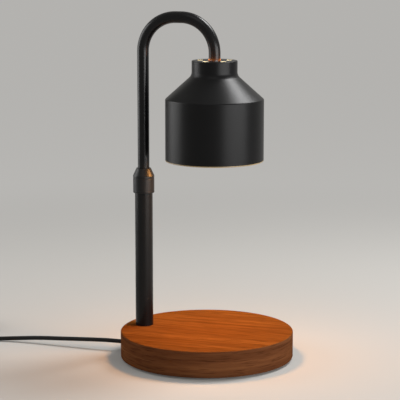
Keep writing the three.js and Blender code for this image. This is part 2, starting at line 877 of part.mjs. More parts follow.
function lampReflector() {
  const flareTop = lampBaseBottom - fitGap;
  const mouth = lampRadius - lampGlassWall;
  const ledge = lampFace + frontGlassInset + frontGlassThickness;
  const outside = reflectorCurve(reflectorNeckRadius, lampRadius, flareTop, lampFace + reflectorRim);
  const inside = reflectorCurve(
    reflectorNeckRadius - lampGlassWall, mouth - reflectorLedge, flareTop - lampGlassWall, ledge,
  );
  const neckTop = lampSeat - fitGap;
  return revolve([
    [burnerBoreRadius, neckTop],
    [burnerBoreRadius, flareTop - lampGlassWall],
    ...inside,
    [mouth, ledge],
    [mouth, lampFace],
    [lampRadius, lampFace],
    ...outside.reverse(),
    [reflectorNeckRadius, neckTop],
    [burnerBoreRadius, neckTop],
  ], tubeSides);
}

function burner() {
  const top = lampSeat - fitGap;
  return revolve(rounded([
    [0, top - burnerLength],
    [burnerRadius, top - burnerLength, burnerRadius / 2],
    [burnerRadius, top],
    [0, top],
  ]), smallSides);
}

function frontGlass() {
  const z0 = lampFace + frontGlassInset;
  return rod(lampRadius - lampGlassWall - fitGap, z0, z0 + frontGlassThickness);
}

function lampPin() {
  const neck = lampTop + lampPinLength - lampPinHead;
  const end = lampTop + lampPinLength;
  return revolve([
    [0, lampTop], [lampPinRadius, lampTop], [lampPinRadius, neck], [lampPinHeadRadius, neck],
    [lampPinHeadRadius, end], [0, end],
  ], smallSides);
}

// Arm: from the guide bush to the shade, everything that turns and slides together
const armGroup = new THREE.Group();
armGroup.position.x = -poleOffset;
armGroup.add(
  piece('guide_bush', guideBush(), whitePlastic()),
  piece('arm_tube', armTube(), blackTube()),
  piece('arm_lead', armLead(), silicone()),
);

const shadeGroup = new THREE.Group();
shadeGroup.position.set(armReach, 0, capTop);
shadeGroup.add(
  piece('shade', shade(), blackPaint()),
  piece(
    'shade_nipple',
    ring(nippleBoreRadius, nippleRadius, shadeNutBottom - nippleBelowNut, archDrop - fitGap),
    zincSteel(),
  ),
  piece('shade_washer', ring(nippleRadius + fitGap, shadeWasherRadius, bracketTop, -shadeWall), zincSteel()),
  piece('holder_bracket', holderBracket(), zincSteel()),
  piece(
    'shade_nut',
    hexNut(shadeNutFlats, nippleRadius + fitGap, shadeNutBottom, bracketBottom),
    zincSteel(),
  ),
  piece('lamp_holder', lampHolder(), ceramic()),
  piece('holder_screw_1', holderScrew(1), zincSteel()),
  piece('holder_screw_2', holderScrew(-1), zincSteel()),
  piece('lamp_base', lampBase(), ceramic()),
  piece('lamp_reflector', lampReflector(), mirrorGlass()),
  piece('lamp_burner', burner(), clearGlass()),
  piece('lamp_front_glass', frontGlass(), clearGlass()),
);
[-1, 1].forEach((side, k) => {
  const mesh = piece(`lamp_pin_${k + 1}`, lampPin(), zincSteel());
  mesh.position.x = (side * lampPinSpacing) / 2;
  shadeGroup.add(mesh);
});
armGroup.add(shadeGroup);

// Places along the lead, measured from where it leaves the base
const coilPitch = 2 * cordRadius + coilGap;
const coilBottomHeight = coilTie + cordRadius;
const coilTopHeight = coilBottomHeight + (coilLayers - 1) * coilPitch;
const coilEndX = coilX - 2 * cordRadius - fitGap;
const coilSide = coilY - coilOuterRadius;
const plugY = coilY + coilOuterRadius;
const dimmerNear = dimmerX + dimmerLength / 2;
const dimmerFar = dimmerX - dimmerLength / 2;

// Coil: one unbroken tube that spirals in and out in layers and climbs where the spiral reverses
function coilCentre(turn) {
  const perLayer = coilTurns / coilLayers;
  const layer = Math.min(Math.floor(turn / perLayer), coilLayers - 1);
  const within = turn - layer * perLayer;
  const inward = layer % 2 ? perLayer - within : within;
  const climbs = Array.from({ length: coilLayers - 1 }, (_, k) => {
    const share = (turn - (k + 1) * perLayer) / climbTurns + 0.5;
    return Math.min(Math.max(share, 0), 1);
  });
  const angle = 2 * Math.PI * turn - Math.PI / 2;
  const radius = coilOuterRadius - coilPitch * inward;
  return new THREE.Vector3(
    radius * Math.cos(angle),
    radius * Math.sin(angle),
    climbs.reduce((sum, c) => sum + c * coilPitch, 0),
  );
}

function coilStations() {
  const steps = coilTurns * coilStepsPerTurn;
  const turns = Array.from({ length: steps + 1 }, (_, k) => coilCentre(k / coilStepsPerTurn));
  const lead = new THREE.Vector3(-2 * cordRadius, 0, 0);
  return [turns[0].clone().add(lead), ...turns, turns[steps].clone().add(lead)];
}

function coil() {
  const points = coilStations();
  const rings = points.map((point, k) => {
    const back = points[Math.max(k - 1, 0)];
    const ahead = points[Math.min(k + 1, points.length - 1)];
    const atEnd = k < 2 || k > points.length - 3;
    const along = atEnd ? new THREE.Vector3(k < 2 ? 1 : -1, 0, 0) : ahead.clone().sub(back).normalize();
    const side = new THREE.Vector3(0, 0, 1).cross(along).normalize();
    const up = along.clone().cross(side);
    return Array.from({ length: coilSides }, (_, j) => {
      const angle = (2 * Math.PI * j) / coilSides;
      return point.clone()
        .addScaledVector(side, cordRadius * Math.cos(angle))
        .addScaledVector(up, cordRadius * Math.sin(angle));
    });
  });
  const positions = rings.flat().flatMap((p) => p.toArray());
  const index = [];
  for (let k = 0; k + 1 < rings.length; k++) {
    for (let j = 0; j < coilSides; j++) {
      const a = k * coilSides + j;
      const b = k * coilSides + ((j + 1) % coilSides);
      index.push(a, b, b + coilSides, a, b + coilSides, a + coilSides);
    }
  }
  const last = (rings.length - 1) * coilSides;
  for (let j = 1; j + 1 < coilSides; j++) {
    index.push(0, j + 1, j, last, last + j, last + j + 1);
  }
  const geometry = new THREE.BufferGeometry();
  geometry.setAttribute('position', new THREE.Float32BufferAttribute(positions, 3));
  geometry.setIndex(index);
  return geometry;
}

// The least gap between stretches of the coil that are at least half a turn apart along it
function coilLeastGap() {
  const points = coilStations();
  let least = Infinity;
  points.forEach((p, i) => {
    for (let j = i + coilStepsPerTurn / 2; j < points.length; j++) {
      least = Math.min(least, p.distanceTo(points[j]) - 2 * cordRadius);
    }
  });
  return least;
}

function lengthOf(points) {
  return points.slice(1).reduce((sum, p, k) => sum + p.distanceTo(points[k]), 0);
}

// The lead's free stretches, as points chosen by hand from where it leaves the base
const onTable = cordRadius + cordLift;
const cordToDimmer = [
  [cordMouth - fitGap, 0, cordExitHeight], [-4, 0, cordExitHeight], [-12, 0, cordExitHeight],
  [-19, 0, 8.5], [-28, 0, 8.1], [-38, 0, 7.55], [-48, 0, 7], [-58, 0, 6.4], [-68, 0, 5.85], [-78, -0.1, 5.3],
  [-90, -0.4, 4.4], [-103, -1.4, 3.3], [-116, -3.5, 2.4], [-129, -7.4, onTable], [-142, -13.6, onTable],
  [-154, -21.4, 2.1], [-165, -29, 3.2], [-175.5, -35, 5.6],
  [dimmerNear + leadStraight, dimmerY, dimmerParting],
  [dimmerNear - cordInsert + fitGap, dimmerY, dimmerParting],
];
const cordToCoil = [
  [dimmerFar + cordInsert - fitGap, dimmerY, dimmerParting],
  [dimmerFar - leadStraight, dimmerY, dimmerParting],
  [-265, -37.6, 6.5], [-272.2, -35.2, 4.8], [-278, -30, 3.3], [-281, -22.9, 2.3], [-281, -16, onTable],
  [-278, -9.2, onTable], [-272.2, -4.6, onTable], [-265, coilSide, onTable], [-253, coilSide, onTable],
  [-237, coilSide, 2], [-221, coilSide, 2.2], [-207, coilSide, 2.6], [-198, coilSide, coilBottomHeight],
  [coilEndX, coilSide, coilBottomHeight],
];

// From the coil's top down to the plug: shares of the way along and of the drop
const plugDropShares = [[0, 0], [0.13, 0], [0.3, 0.1], [0.48, 0.43], [0.66, 0.78], [0.84, 0.975], [1, 1]];
const cordToPlug = plugDropShares.map(([along, drop]) => [
  THREE.MathUtils.lerp(coilEndX, plugX + fitGap, along),
  plugY,
  THREE.MathUtils.lerp(coilTopHeight, plugHeight / 2, drop),
]);

const cordGroup = new THREE.Group();
const stretches = {
  cord_to_dimmer: cordToDimmer,
  cord_to_coil: cordToCoil,
  cord_to_plug: cordToPlug,
};
const lengths = {};
for (const [name, points] of Object.entries(stretches)) {
  const route = smoothRoute(points);
  lengths[name] = route.getLength();
  const solid = sweep(cordOutline(), route, Math.ceil(lengths[name] / cordStep));
  cordGroup.add(piece(name, solid, blackRubber()));
}
const coilMesh = piece('cord_coil', coil(), blackRubber());
coilMesh.position.set(coilX, coilY, coilBottomHeight);
cordGroup.add(coilMesh);
lengths.cord_coil = lengthOf(coilStations());

// The sheathed lead inside the base: under the stud, up into its clamp and on to the terminals
const underStud = studBottom - cordRadius - fitGap;
const clampStart = clampX - clampLength / 2;
const clampEnd = clampX + clampLength / 2;
const pastStud = studNutFlats / 2 - poleOffset;
const tailClimbShares = [[0.25, 0.12], [0.5, 0.5], [0.75, 0.88]];
const tailDropShares = [[0.28, 0.15], [0.55, 0.6], [0.79, 0.93]];
const cordTail = [
  [cordMouth - baseRadius, cordExitSide, cordExitHeight],
  [-poleOffset - studNutFlats / 2, cordExitSide, underStud],
  [-poleOffset, cordExitSide, underStud],
  [pastStud, cordExitSide, underStud],
  ...tailClimbShares.map(([along, rise]) => [
    THREE.MathUtils.lerp(pastStud, clampStart, along),
    cordExitSide,
    THREE.MathUtils.lerp(underStud, clampCordHeight, rise),
  ]),
  [clampStart, cordExitSide, clampCordHeight],
  [clampEnd, cordExitSide, clampCordHeight],
  ...tailDropShares.map(([along, drop]) => [
    THREE.MathUtils.lerp(clampEnd, -terminalLength / 2, along),
    THREE.MathUtils.lerp(cordExitSide, terminalSide, drop),
    THREE.MathUtils.lerp(clampCordHeight, terminalMiddle, drop),
  ]),
  [-terminalLength / 2 - fitGap, terminalSide, terminalMiddle],
];
baseGroup.add(piece('cord_tail', sweepThrough(cordOutline(), cordTail), blackRubber()));

// Flat lead from the terminals: a loop in the pocket, as shares of its radius and of the lead's
// drop, then straight to the pole, up through the stud and the lower tube to the guide bush
const leadLoopShares = [
  [0.53, -0.06, 0], [0.72, 0.02, 0.06], [0.81, 0.19, 0.15], [0.77, 0.39, 0.23], [0.58, 0.53, 0.31],
  [0.28, 0.6, 0.38], [-0.09, 0.6, 0.46], [-0.5, 0.52, 0.53],
];
const leadRunShares = [[0.3, 0.64], [0.56, 0.8], [0.76, 0.94]];
const leadLow = plateTop + poleLeadLift;
const leadHeightAt = (drop) => THREE.MathUtils.lerp(terminalMiddle, leadLow, drop);
const leadLoop = leadLoopShares.map(([x, y, drop]) => [x * pocketRadius, y * pocketRadius, leadHeightAt(drop)]);
const [loopEndX, loopEndY] = leadLoop[leadLoop.length - 1];
const poleLeadRoute = [
  [terminalLength / 2 + fitGap, terminalSide, terminalMiddle],
  ...leadLoop,
  ...leadRunShares.map(([along, drop]) => [
    THREE.MathUtils.lerp(loopEndX, -poleOffset, along),
    THREE.MathUtils.lerp(loopEndY, 0, along),
    leadHeightAt(drop),
  ]),
  [poleLeadBend - poleOffset, 0, leadLow],
  [poleLeadBend / 4 - poleOffset, 0, leadLow + poleLeadBend / 3],
  [-poleOffset, 0, leadLow + poleLeadBend],
  [-poleOffset, 0, nutTop],
  [-poleOffset, 0, baseTop + insertHeight],
  [-poleOffset, 0, bushBottom - fitGap],
];
baseGroup.add(piece('pole_lead', sweepThrough(twinOutline(), poleLeadRoute), silicone()));

// Rotary dimmer: a moulded block parted in two shells, which hold the board, its control and the dial
const boardBottom = dimmerWall + boardPost;
const boardTop = boardBottom + boardThickness;
const roof = dimmerHeight - dialWell - dimmerWall;
const shaftTop = dimmerHeight - dialWell + dialBoreDepth;
const controlTop = Math.min(boardTop + controlHeight, shaftTop - shaftLength - fitGap);

function caseBlock() {
  const outline = roundedBoxOutline(
    dimmerLength - 2 * dimmerEdge, dimmerWidth - 2 * dimmerEdge, dimmerCorner - dimmerEdge,
  );
  return new THREE.ExtrudeGeometry(outline, {
    depth: dimmerHeight - 2 * dimmerEdge,
    bevelThickness: dimmerEdge,
    bevelSize: dimmerEdge,
    bevelSegments: arcSteps - 1,
    curveSegments: arcSteps,
  }).translate(0, 0, dimmerEdge);
}

// The end walls are as thick as the lead reaches in
function caseHollow(z0, z1) {
  const outline = roundedBoxOutline(
    dimmerLength - 2 * cordInsert, dimmerWidth - 2 * dimmerWall, dimmerCorner - cordInsert,
  );
  return slab(outline, z0, z1);
}

function aboutBlock(z0, z1) {
  return slab(boxOutline(-dimmerLength, dimmerLength, -dimmerWidth, dimmerWidth), z0, z1);
}

function leadHoles() {
  const end = dimmerLength / 2;
  return [-1, 1].map((side) => rod(
    cordRadius + fitGap, end - cordInsert - cutOverrun, end + cutOverrun, smallSides,
  ).rotateY((side * Math.PI) / 2).translate(0, 0, dimmerParting));
}

// The same upright rod at both case screws
function atScrews(radius, z0, z1, sides = smallSides) {
  return [-1, 1].map((side) => rod(radius, z0, z1, sides).translate(side * bossSpread, 0, 0));
}

function dimmerBottom() {
  const shell = cut(
    caseBlock(),
    aboutBlock(dimmerParting, dimmerHeight + cutOverrun),
    caseHollow(dimmerWall, dimmerParting + cutOverrun),
  );
  const posts = [-1, 1].map((side) => rod(boardPostRadius, dimmerWall / 2, boardBottom, cordSides)
    .translate((side * boardLength) / 3, 0, 0));
  return cut(
    join(shell, ...atScrews(bossRadius, dimmerWall / 2, dimmerParting), ...posts),
    ...atScrews(caseScrewRadius + fitGap, -cutOverrun, dimmerParting + cutOverrun, cordSides),
    ...atScrews(caseScrewHeadRadius + fitGap, -cutOverrun, caseScrewHead + fitGap),
    ...leadHoles(),
  );
}

function dimmerTop() {
  const shell = cut(
    caseBlock(),
    aboutBlock(-cutOverrun, dimmerParting),
    caseHollow(dimmerParting - cutOverrun, roof),
    rod(dialRadius + fitGap, dimmerHeight - dialWell, dimmerHeight + cutOverrun),
    rod(shaftRadius + fitGap, roof - cutOverrun, dimmerHeight, smallSides),
  );
  const pilotTop = dimmerParting + caseScrewGrip + fitGap;
  return cut(
    join(shell, ...atScrews(bossRadius, dimmerParting, roof + dimmerWall / 2)),
    ...atScrews(caseScrewRadius + fitGap, dimmerParting - cutOverrun, pilotTop, cordSides),
    ...leadHoles(),
  );
}

function dimmerDial() {
  const z0 = dimmerHeight - dialWell + fitGap;
  const count = dialGrips * pointsPerGrip;
  const points = Array.from({ length: count }, (_, k) => {
    const angle = (2 * Math.PI * k) / count;
    const radius = dialRadius - (k % pointsPerGrip === 0 ? dialGripDepth : 0);
    return new THREE.Vector2(radius * Math.cos(angle), radius * Math.sin(angle));
  });
  const body = slab(new THREE.Shape(points), z0, z0 + dialHeight);
  return cut(body, rod(shaftRadius + fitGap, z0 - cutOverrun, z0 + dialBoreDepth, smallSides));
}

const dimmerGroup = new THREE.Group();
dimmerGroup.position.set(dimmerX, dimmerY, 0);
dimmerGroup.add(
  piece('dimmer_bottom', dimmerBottom(), blackPlastic()),
  piece('dimmer_top', dimmerTop(), blackPlastic()),
  piece('dimmer_dial', dimmerDial(), blackPlastic()),
  piece('dimmer_shaft', rod(shaftRadius, shaftTop - shaftLength, shaftTop, smallSides), zincSteel()),
  piece(
    'dimmer_board',
    slab(roundedBoxOutline(boardLength, boardWidth, boardPostRadius), boardBottom, boardTop),
    boardGreen(),
  ),
  piece(
    'dimmer_control',
    slab(roundedBoxOutline(controlWidth, controlWidth, boardPostRadius), boardTop, controlTop),
    zincSteel(),
  ),
);
[-1, 1].forEach((side, k) => {
  const shank = dimmerParting - caseScrewHead + caseScrewGrip;
  const screw = panScrew(caseScrewRadius, caseScrewHeadRadius, caseScrewHead, shank, caseScrewHead);
  const mesh = piece(`dimmer_screw_${k + 1}`, screw, zincSteel());
  mesh.position.x = side * bossSpread;
  dimmerGroup.add(mesh);
});

// Two-blade plug with a tapered sleeve, lying on its wide side
function plugMoulding() {
  const neck = sleeveRadius;
  const half = plugWidth / 2 - plugEdge;
  const x0 = sleeveLength + plugEdge;
  const x1 = sleeveLength + plugBody - plugEdge;
  const outline = new THREE.Shape([
    [x0, neck - plugEdge], [x0 + plugTaper, half], [x1, half], [x1, -half], [x0 + plugTaper, -half],
    [x0, plugEdge - neck],
  ].map((p) => new THREE.Vector2(...p)).reverse());
  const body = new THREE.ExtrudeGeometry(outline, {
    depth: plugHeight - 2 * plugEdge,
    bevelThickness: plugEdge,
    bevelSize: plugEdge,
    bevelSegments: arcSteps,
  });
  body.translate(0, 0, plugEdge);
  const rootEnd = sleeveLength + plugTaper / 2;
  const sleeve = revolve([[0, 0], [sleeveEndRadius, 0], [sleeveRadius, rootEnd], [0, rootEnd]], boreSides)
    .rotateY(Math.PI / 2).translate(0, 0, plugHeight / 2);
  const face = sleeveLength + plugBody;
  const slotHalf = bladeThickness / 2 + fitGap;
  const slots = [-1, 1].map((side) => {
    const y = (side * bladeSpacing) / 2;
    return slab(
      boxOutline(face - bladeRoot - fitGap, face + cutOverrun, y - slotHalf, y + slotHalf),
      (plugHeight - bladeWidth) / 2 - fitGap,
      (plugHeight + bladeWidth) / 2 + fitGap,
    );
  });
  return cut(join(body, sleeve), ...slots);
}

function plugBlade(side) {
  const face = sleeveLength + plugBody;
  const half = bladeWidth / 2;
  const outline = new THREE.Shape();
  outline.moveTo(face - bladeRoot, -half);
  outline.lineTo(face + bladeLength - bladeThickness, -half);
  outline.lineTo(face + bladeLength, bladeThickness - half);
  outline.lineTo(face + bladeLength, half - bladeThickness);
  outline.lineTo(face + bladeLength - bladeThickness, half);
  outline.lineTo(face - bladeRoot, half);
  const hole = circleOutline(bladeHoleRadius, smallSides, face + bladeLength - bladeHoleInset, 0).reverse();
  outline.holes.push(new THREE.Path(hole));
  return new THREE.ExtrudeGeometry(outline, { depth: bladeThickness, bevelEnabled: false })
    .rotateX(Math.PI / 2)
    .translate(0, (side * bladeSpacing) / 2 + bladeThickness / 2, plugHeight / 2);
}

const plugGroup = new THREE.Group();
plugGroup.position.set(plugX, plugY, 0);
plugGroup.rotation.z = Math.PI;
plugGroup.add(
  piece('plug_body', plugMoulding(), blackRubber()),
  piece('plug_blade_1', plugBlade(1), brass()),
  piece('plug_blade_2', plugBlade(-1), brass()),
);

console.log('coil least gap to itself, mm:', coilLeastGap().toFixed(2));
console.log('cord lengths, mm:', Object.entries(lengths).map(([k, v]) => `${k} ${v.toFixed(1)}`).join(', '));

const leadGroup = new THREE.Group();
leadGroup.position.set(-baseRadius, cordExitSide, 0);
leadGroup.add(cordGroup, dimmerGroup, plugGroup);

const lamp = new THREE.Group();
lamp.name = 'candle_warmer_lamp';
lamp.add(baseGroup, poleGroup, armGroup, leadGroup);

export default lamp;
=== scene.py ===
# Table lamp that warms from above: wooden base, telescopic pole with a twist lock, arched arm, black
# spun shade over a halogen reflector lamp, and a lead with a rotary dimmer. Shapes and routes are
# given in millimetres and made in metres; the camera and the lights are given in metres.
import math

import bmesh
import bpy
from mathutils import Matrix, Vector


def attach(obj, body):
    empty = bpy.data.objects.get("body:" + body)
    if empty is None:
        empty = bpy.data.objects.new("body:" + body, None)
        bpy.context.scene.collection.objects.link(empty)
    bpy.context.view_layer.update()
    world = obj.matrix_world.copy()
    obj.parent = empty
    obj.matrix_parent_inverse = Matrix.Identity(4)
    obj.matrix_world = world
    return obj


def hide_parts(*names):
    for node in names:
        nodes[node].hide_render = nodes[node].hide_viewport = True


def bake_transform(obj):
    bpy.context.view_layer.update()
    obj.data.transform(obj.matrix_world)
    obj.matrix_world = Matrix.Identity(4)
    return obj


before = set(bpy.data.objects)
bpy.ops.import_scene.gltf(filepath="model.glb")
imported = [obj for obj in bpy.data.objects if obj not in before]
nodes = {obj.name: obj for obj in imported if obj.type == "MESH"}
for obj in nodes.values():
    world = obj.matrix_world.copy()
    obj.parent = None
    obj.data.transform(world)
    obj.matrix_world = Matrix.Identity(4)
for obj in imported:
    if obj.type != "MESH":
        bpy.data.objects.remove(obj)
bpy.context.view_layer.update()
mm = 0.001
mergeGap = 0.0005  # this and the lengths below are in millimetres; points closer than this are merged
cornerGap = 0.004  # how near an edge lies to the outline's corner that it belongs to
nearby = 0.01  # how near counts as lying in a plane
shadeAxis = (6.8, 0)  # where the shade, its lamp holder and its lamp stand
halfTurn = (0, 0, 180)  # in degrees
print("model loaded,", len(nodes), "nodes")


# Selecting, applying and placing
def clearSelection():
    active = bpy.context.view_layer.objects.active
    if active and active.mode != "OBJECT":
        bpy.ops.object.mode_set(mode="OBJECT")
    bpy.ops.object.select_all(action="DESELECT")


def makeActive(piece):
    clearSelection()
    piece.select_set(True)
    bpy.context.view_layer.objects.active = piece


def startEdit(piece, mode="EDGE"):
    makeActive(piece)
    bpy.ops.object.mode_set(mode="EDIT")
    bpy.ops.mesh.select_mode(type=mode)
    bpy.ops.mesh.select_all(action="SELECT")


def endEdit():
    bpy.ops.object.mode_set(mode="OBJECT")


def pick(piece, kind, wanted):  # selects the edges or the faces that pass
    bpy.ops.mesh.select_all(action="DESELECT")
    mesh = bmesh.from_edit_mesh(piece.data)
    for element in getattr(mesh, kind):
        if wanted(element):
            element.select_set(True)
    bmesh.update_edit_mesh(piece.data)


def pickEdges(piece, wanted):  # the edges whose two ends both pass, as points in millimetres
    pick(piece, "edges", lambda edge: all(wanted(vertex.co / mm) for vertex in edge.verts))


def pickAlong(piece, axis):  # the edges that run along one axis
    def runsAlong(edge):
        run = edge.verts[1].co - edge.verts[0].co
        return abs(run[axis]) > 0.99 * run.length

    pick(piece, "edges", runsAlong)


def pickFaces(piece, wanted):  # the faces whose normal passes
    pick(piece, "faces", lambda face: wanted(face.normal))


def roundPicked(width, segments, clamp=False):  # the picked edges, as far as a width on their faces
    bpy.ops.mesh.bevel(offset_type="OFFSET", offset=width * mm, segments=segments, profile=0.5,
                       affect="EDGES", clamp_overlap=clamp)


def extrudePicked(x, y, z):
    bpy.ops.mesh.extrude_region_move(TRANSFORM_OT_translate={"value": (x * mm, y * mm, z * mm)})


def mergePicked():  # merges the doubles, then turns the normals outwards
    bpy.ops.mesh.remove_doubles(threshold=mergeGap * mm)
    bpy.ops.mesh.normals_make_consistent(inside=False)


def settle(piece, location=(0, 0, 0), rotation=(0, 0, 0)):  # puts the place and turn in the mesh
    makeActive(piece)
    piece.location = Vector(location) * mm
    piece.rotation_euler = [math.radians(angle) for angle in rotation]
    bpy.ops.object.transform_apply(location=True, rotation=True, scale=True)
    return piece


def applyModifier(piece, kind, **settings):
    makeActive(piece)
    modifier = piece.modifiers.new(kind.lower(), kind)
    for setting, value in settings.items():
        setattr(modifier, setting, value)
    bpy.ops.object.modifier_apply(modifier=modifier.name)
    return piece


def combine(piece, operation, others):
    for other in others:
        applyModifier(piece, "BOOLEAN", object=other, operation=operation, solver="EXACT")
        bpy.data.objects.remove(other)
    return piece


def cutAway(piece, *cutters):
    return combine(piece, "DIFFERENCE", cutters)


def joinOnto(piece, *others):
    return combine(piece, "UNION", others)


def copyOf(piece, name, location=(0, 0, 0), rotation=(0, 0, 0)):
    copy = piece.copy()
    copy.data = piece.data.copy()
    copy.name = name
    bpy.context.scene.collection.objects.link(copy)
    return settle(copy, location, rotation)


def smoothed(piece, angle=32, weighted=True):
    makeActive(piece)
    bpy.ops.object.shade_smooth_by_angle(angle=math.radians(angle))
    if weighted:
        applyModifier(piece, "WEIGHTED_NORMAL", keep_sharp=True)
    return piece


def cleaned(piece):
    startEdit(piece)
    mergePicked()
    endEdit()
    return piece


# Starting shapes
def onCircle(reach, angle, centre=(0, 0)):
    return centre[0] + reach * math.cos(angle), centre[1] + reach * math.sin(angle)


def added(name, add, extent=(1, 1, 1), **settings):  # a primitive, its place and extent in the mesh
    clearSelection()
    add(**settings)
    piece = bpy.context.object
    piece.name = name
    piece.scale = extent
    bpy.ops.object.transform_apply(location=True, scale=True)
    return piece


def circle(name, radius, place, sides):
    return added(name, bpy.ops.mesh.primitive_circle_add, vertices=sides, radius=radius * mm,
                 location=[value * mm for value in place])


def turned(name, corners, sides, centre=(0, 0), closed=False, segments=4):
    # corners are [radius, height, rounding]; a closed one ends where it starts, as a tube's wall
    x, y = centre
    piece = circle(name, corners[0][0], (x, y, corners[0][1]), sides)
    startEdit(piece)
    if not closed:
        bpy.ops.mesh.edge_face_add()
    path = [corner[:2] for corner in corners]
    if closed:
        path.append(path[0])
    for (radius, height), (nextRadius, nextHeight) in zip(path, path[1:]):
        extrudePicked(0, 0, nextHeight - height)
        share = nextRadius / radius
        bpy.ops.transform.resize(
            value=(share, share, 1), center_override=(x * mm, y * mm, nextHeight * mm))
    bpy.ops.mesh.select_all(action="SELECT")
    mergePicked()
    last = len(corners) - 1
    for k, corner in enumerate(corners):
        if len(corner) < 3 or (not closed and k in (0, last)):
            continue
        here = Vector(corner[:2])
        back = (Vector(corners[k - 1][:2]) - here).normalized()
        ahead = (Vector(corners[(k + 1) % len(corners)][:2]) - here).normalized()
        turn = math.pi - back.angle(ahead)
        pickEdges(piece, lambda co: (
            abs(math.hypot(co.x - x, co.y - y) - here.x) < cornerGap and abs(co.z - here.y) < cornerGap))
        roundPicked(corner[2] * math.tan(turn / 2), segments)
    endEdit()
    return piece


def rod(radius, low, high, centre=(0, 0), sides=48):  # one that cuts reaches past the face it opens
    return turned("rod", [(radius, low), (radius, high)], sides, centre)


def crossRod(radius, start, length, rotation, sides=48):  # a rod laid from a point, for holes
    return settle(rod(radius, 0, length, sides=sides), start, rotation)


def belt(name, large, small, low, high, reach, sides=96):  # a strap's outline round two circles
    circles = [circle(name, radius, (x, 0, height), sides)
               for height in (low, high) for radius, x in ((large, 0), (small, -reach))]
    for part in circles:
        part.select_set(True)
    bpy.context.view_layer.objects.active = circles[0]
    bpy.ops.object.join()
    piece = bpy.context.object
    piece.name = name
    startEdit(piece)
    bpy.ops.mesh.convex_hull()
    bpy.ops.mesh.dissolve_limited(angle_limit=math.radians(1))
    bpy.ops.mesh.normals_make_consistent(inside=False)
    endEdit()
    return piece


def block(name, low, high, edge=0, segments=3):
    low, high = Vector(low) * mm, Vector(high) * mm
    piece = added(name, bpy.ops.mesh.primitive_cube_add, high - low, size=1, location=(low + high) / 2)
    if edge:
        startEdit(piece)
        roundPicked(edge, segments)
        endEdit()
    return piece


# Materials
def hexColour(text):  # sRGB hex to linear
    levels = [int(text[i:i + 2], 16) / 255 for i in (1, 3, 5)]
    return [c / 12.92 if c <= 0.04045 else ((c + 0.055) / 1.055) ** 2.4 for c in levels] + [1]


def addNode(owner, kind, inputs=None, **settings):
    tree = owner.node_tree
    node = tree.nodes.new(kind)
    for setting, value in settings.items():
        setattr(node, setting, value)
    for socket, value in (inputs or {}).items():
        if isinstance(value, bpy.types.NodeSocket):
            tree.links.new(value, node.inputs[socket])
        else:
            node.inputs[socket].default_value = value
    return node


def newMaterial(name, colour, roughness, others=None):
    material = bpy.data.materials.new(name)
    material.use_nodes = True
    shader = material.node_tree.nodes["Principled BSDF"]
    shader.inputs["Base Color"].default_value = hexColour(colour)
    shader.inputs["Roughness"].default_value = roughness
    for socket, value in (others or {}).items():
        shader.inputs[socket].default_value = value
    return material, shader


def feed(material, shader, inputs):
    for socket, value in inputs.items():
        material.node_tree.links.new(value, shader.inputs[socket])
    return material


def grained(name, colours, roughness, grain, depth, others=None, spread=0.08, stretch=(1, 1, 1)):
    # a surface whose height varies with a fine noise, and its colour and gloss with one 14 times as
    # coarse; grain and depth in mm, and where the real grain is too fine to show, drawn coarser
    material, shader = newMaterial(name, colours[0], roughness, others)
    place = addNode(material, "ShaderNodeTexCoord").outputs["Object"]
    place = addNode(material, "ShaderNodeMapping", {"Vector": place, "Scale": stretch}).outputs[0]
    fine = addNode(material, "ShaderNodeTexNoise", {
        "Vector": place, "Scale": 1 / (grain * mm), "Detail": 4.0, "Roughness": 0.6}).outputs["Fac"]
    cloud = addNode(material, "ShaderNodeTexNoise", {
        "Vector": place, "Scale": 1 / (grain * 14 * mm), "Detail": 2.0}).outputs["Fac"]
    colour = addNode(material, "ShaderNodeMix", {
        "Factor": cloud, 6: hexColour(colours[0]), 7: hexColour(colours[1])}, data_type="RGBA")
    gloss = addNode(material, "ShaderNodeMapRange", {
        "Value": cloud, "To Min": roughness - spread, "To Max": roughness + spread})
    bump = addNode(material, "ShaderNodeBump", {"Height": fine, "Distance": depth * mm, "Strength": 0.6})
    return feed(material, shader, {
        "Base Color": colour.outputs[2], "Roughness": gloss.outputs[0], "Normal": bump.outputs[0]})


def paint(piece, *materials):
    piece.data.materials.clear()
    for material in materials:
        piece.data.materials.append(material)
    return piece


def dressed(piece, material, angle=32):
    return paint(smoothed(cleaned(piece), angle), material)


def paintNodes(material, *names):
    for name in names:
        slots = nodes[name].material_slots
        for slot in slots:
            slot.material = material
        if not slots:
            nodes[name].data.materials.append(material)


def finished(piece, body, slot, *replaced):
    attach(piece, body)
    if replaced:
        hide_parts(*replaced)
    return piece


# Beech with a walnut stain, oiled and wiped dry: long open grain over the top and, fainter, along the
# turned side, which is painted shade: darker and greyer than the top all round; it has no shine, so its
# colour stays deep from every side
woodValues = {
    "bands": 9,  # this, the streaks and the pores are widths across the grain, in mm
    "streaks": 3,
    "pores": 1.1,
    "poreDepth": 0.05,  # in mm
    "overTop": (0.05, 1, 1),  # what draws the grain out along the top, and below round the side
    "roundSide": (0.07, 0.07, 1.3),
    "bandColours": ("#744017", "#8c5220"),
    "streakColour": "#5a2e11",
    "poreColour": "#4b250c",
    "saturation": (0.9, 1),  # painted shade: this and the next, on the side and on the top
    "brightness": (0.6, 0.94),
    "roughness": (0.9, 0.8),  # in the streaks, and between them
}


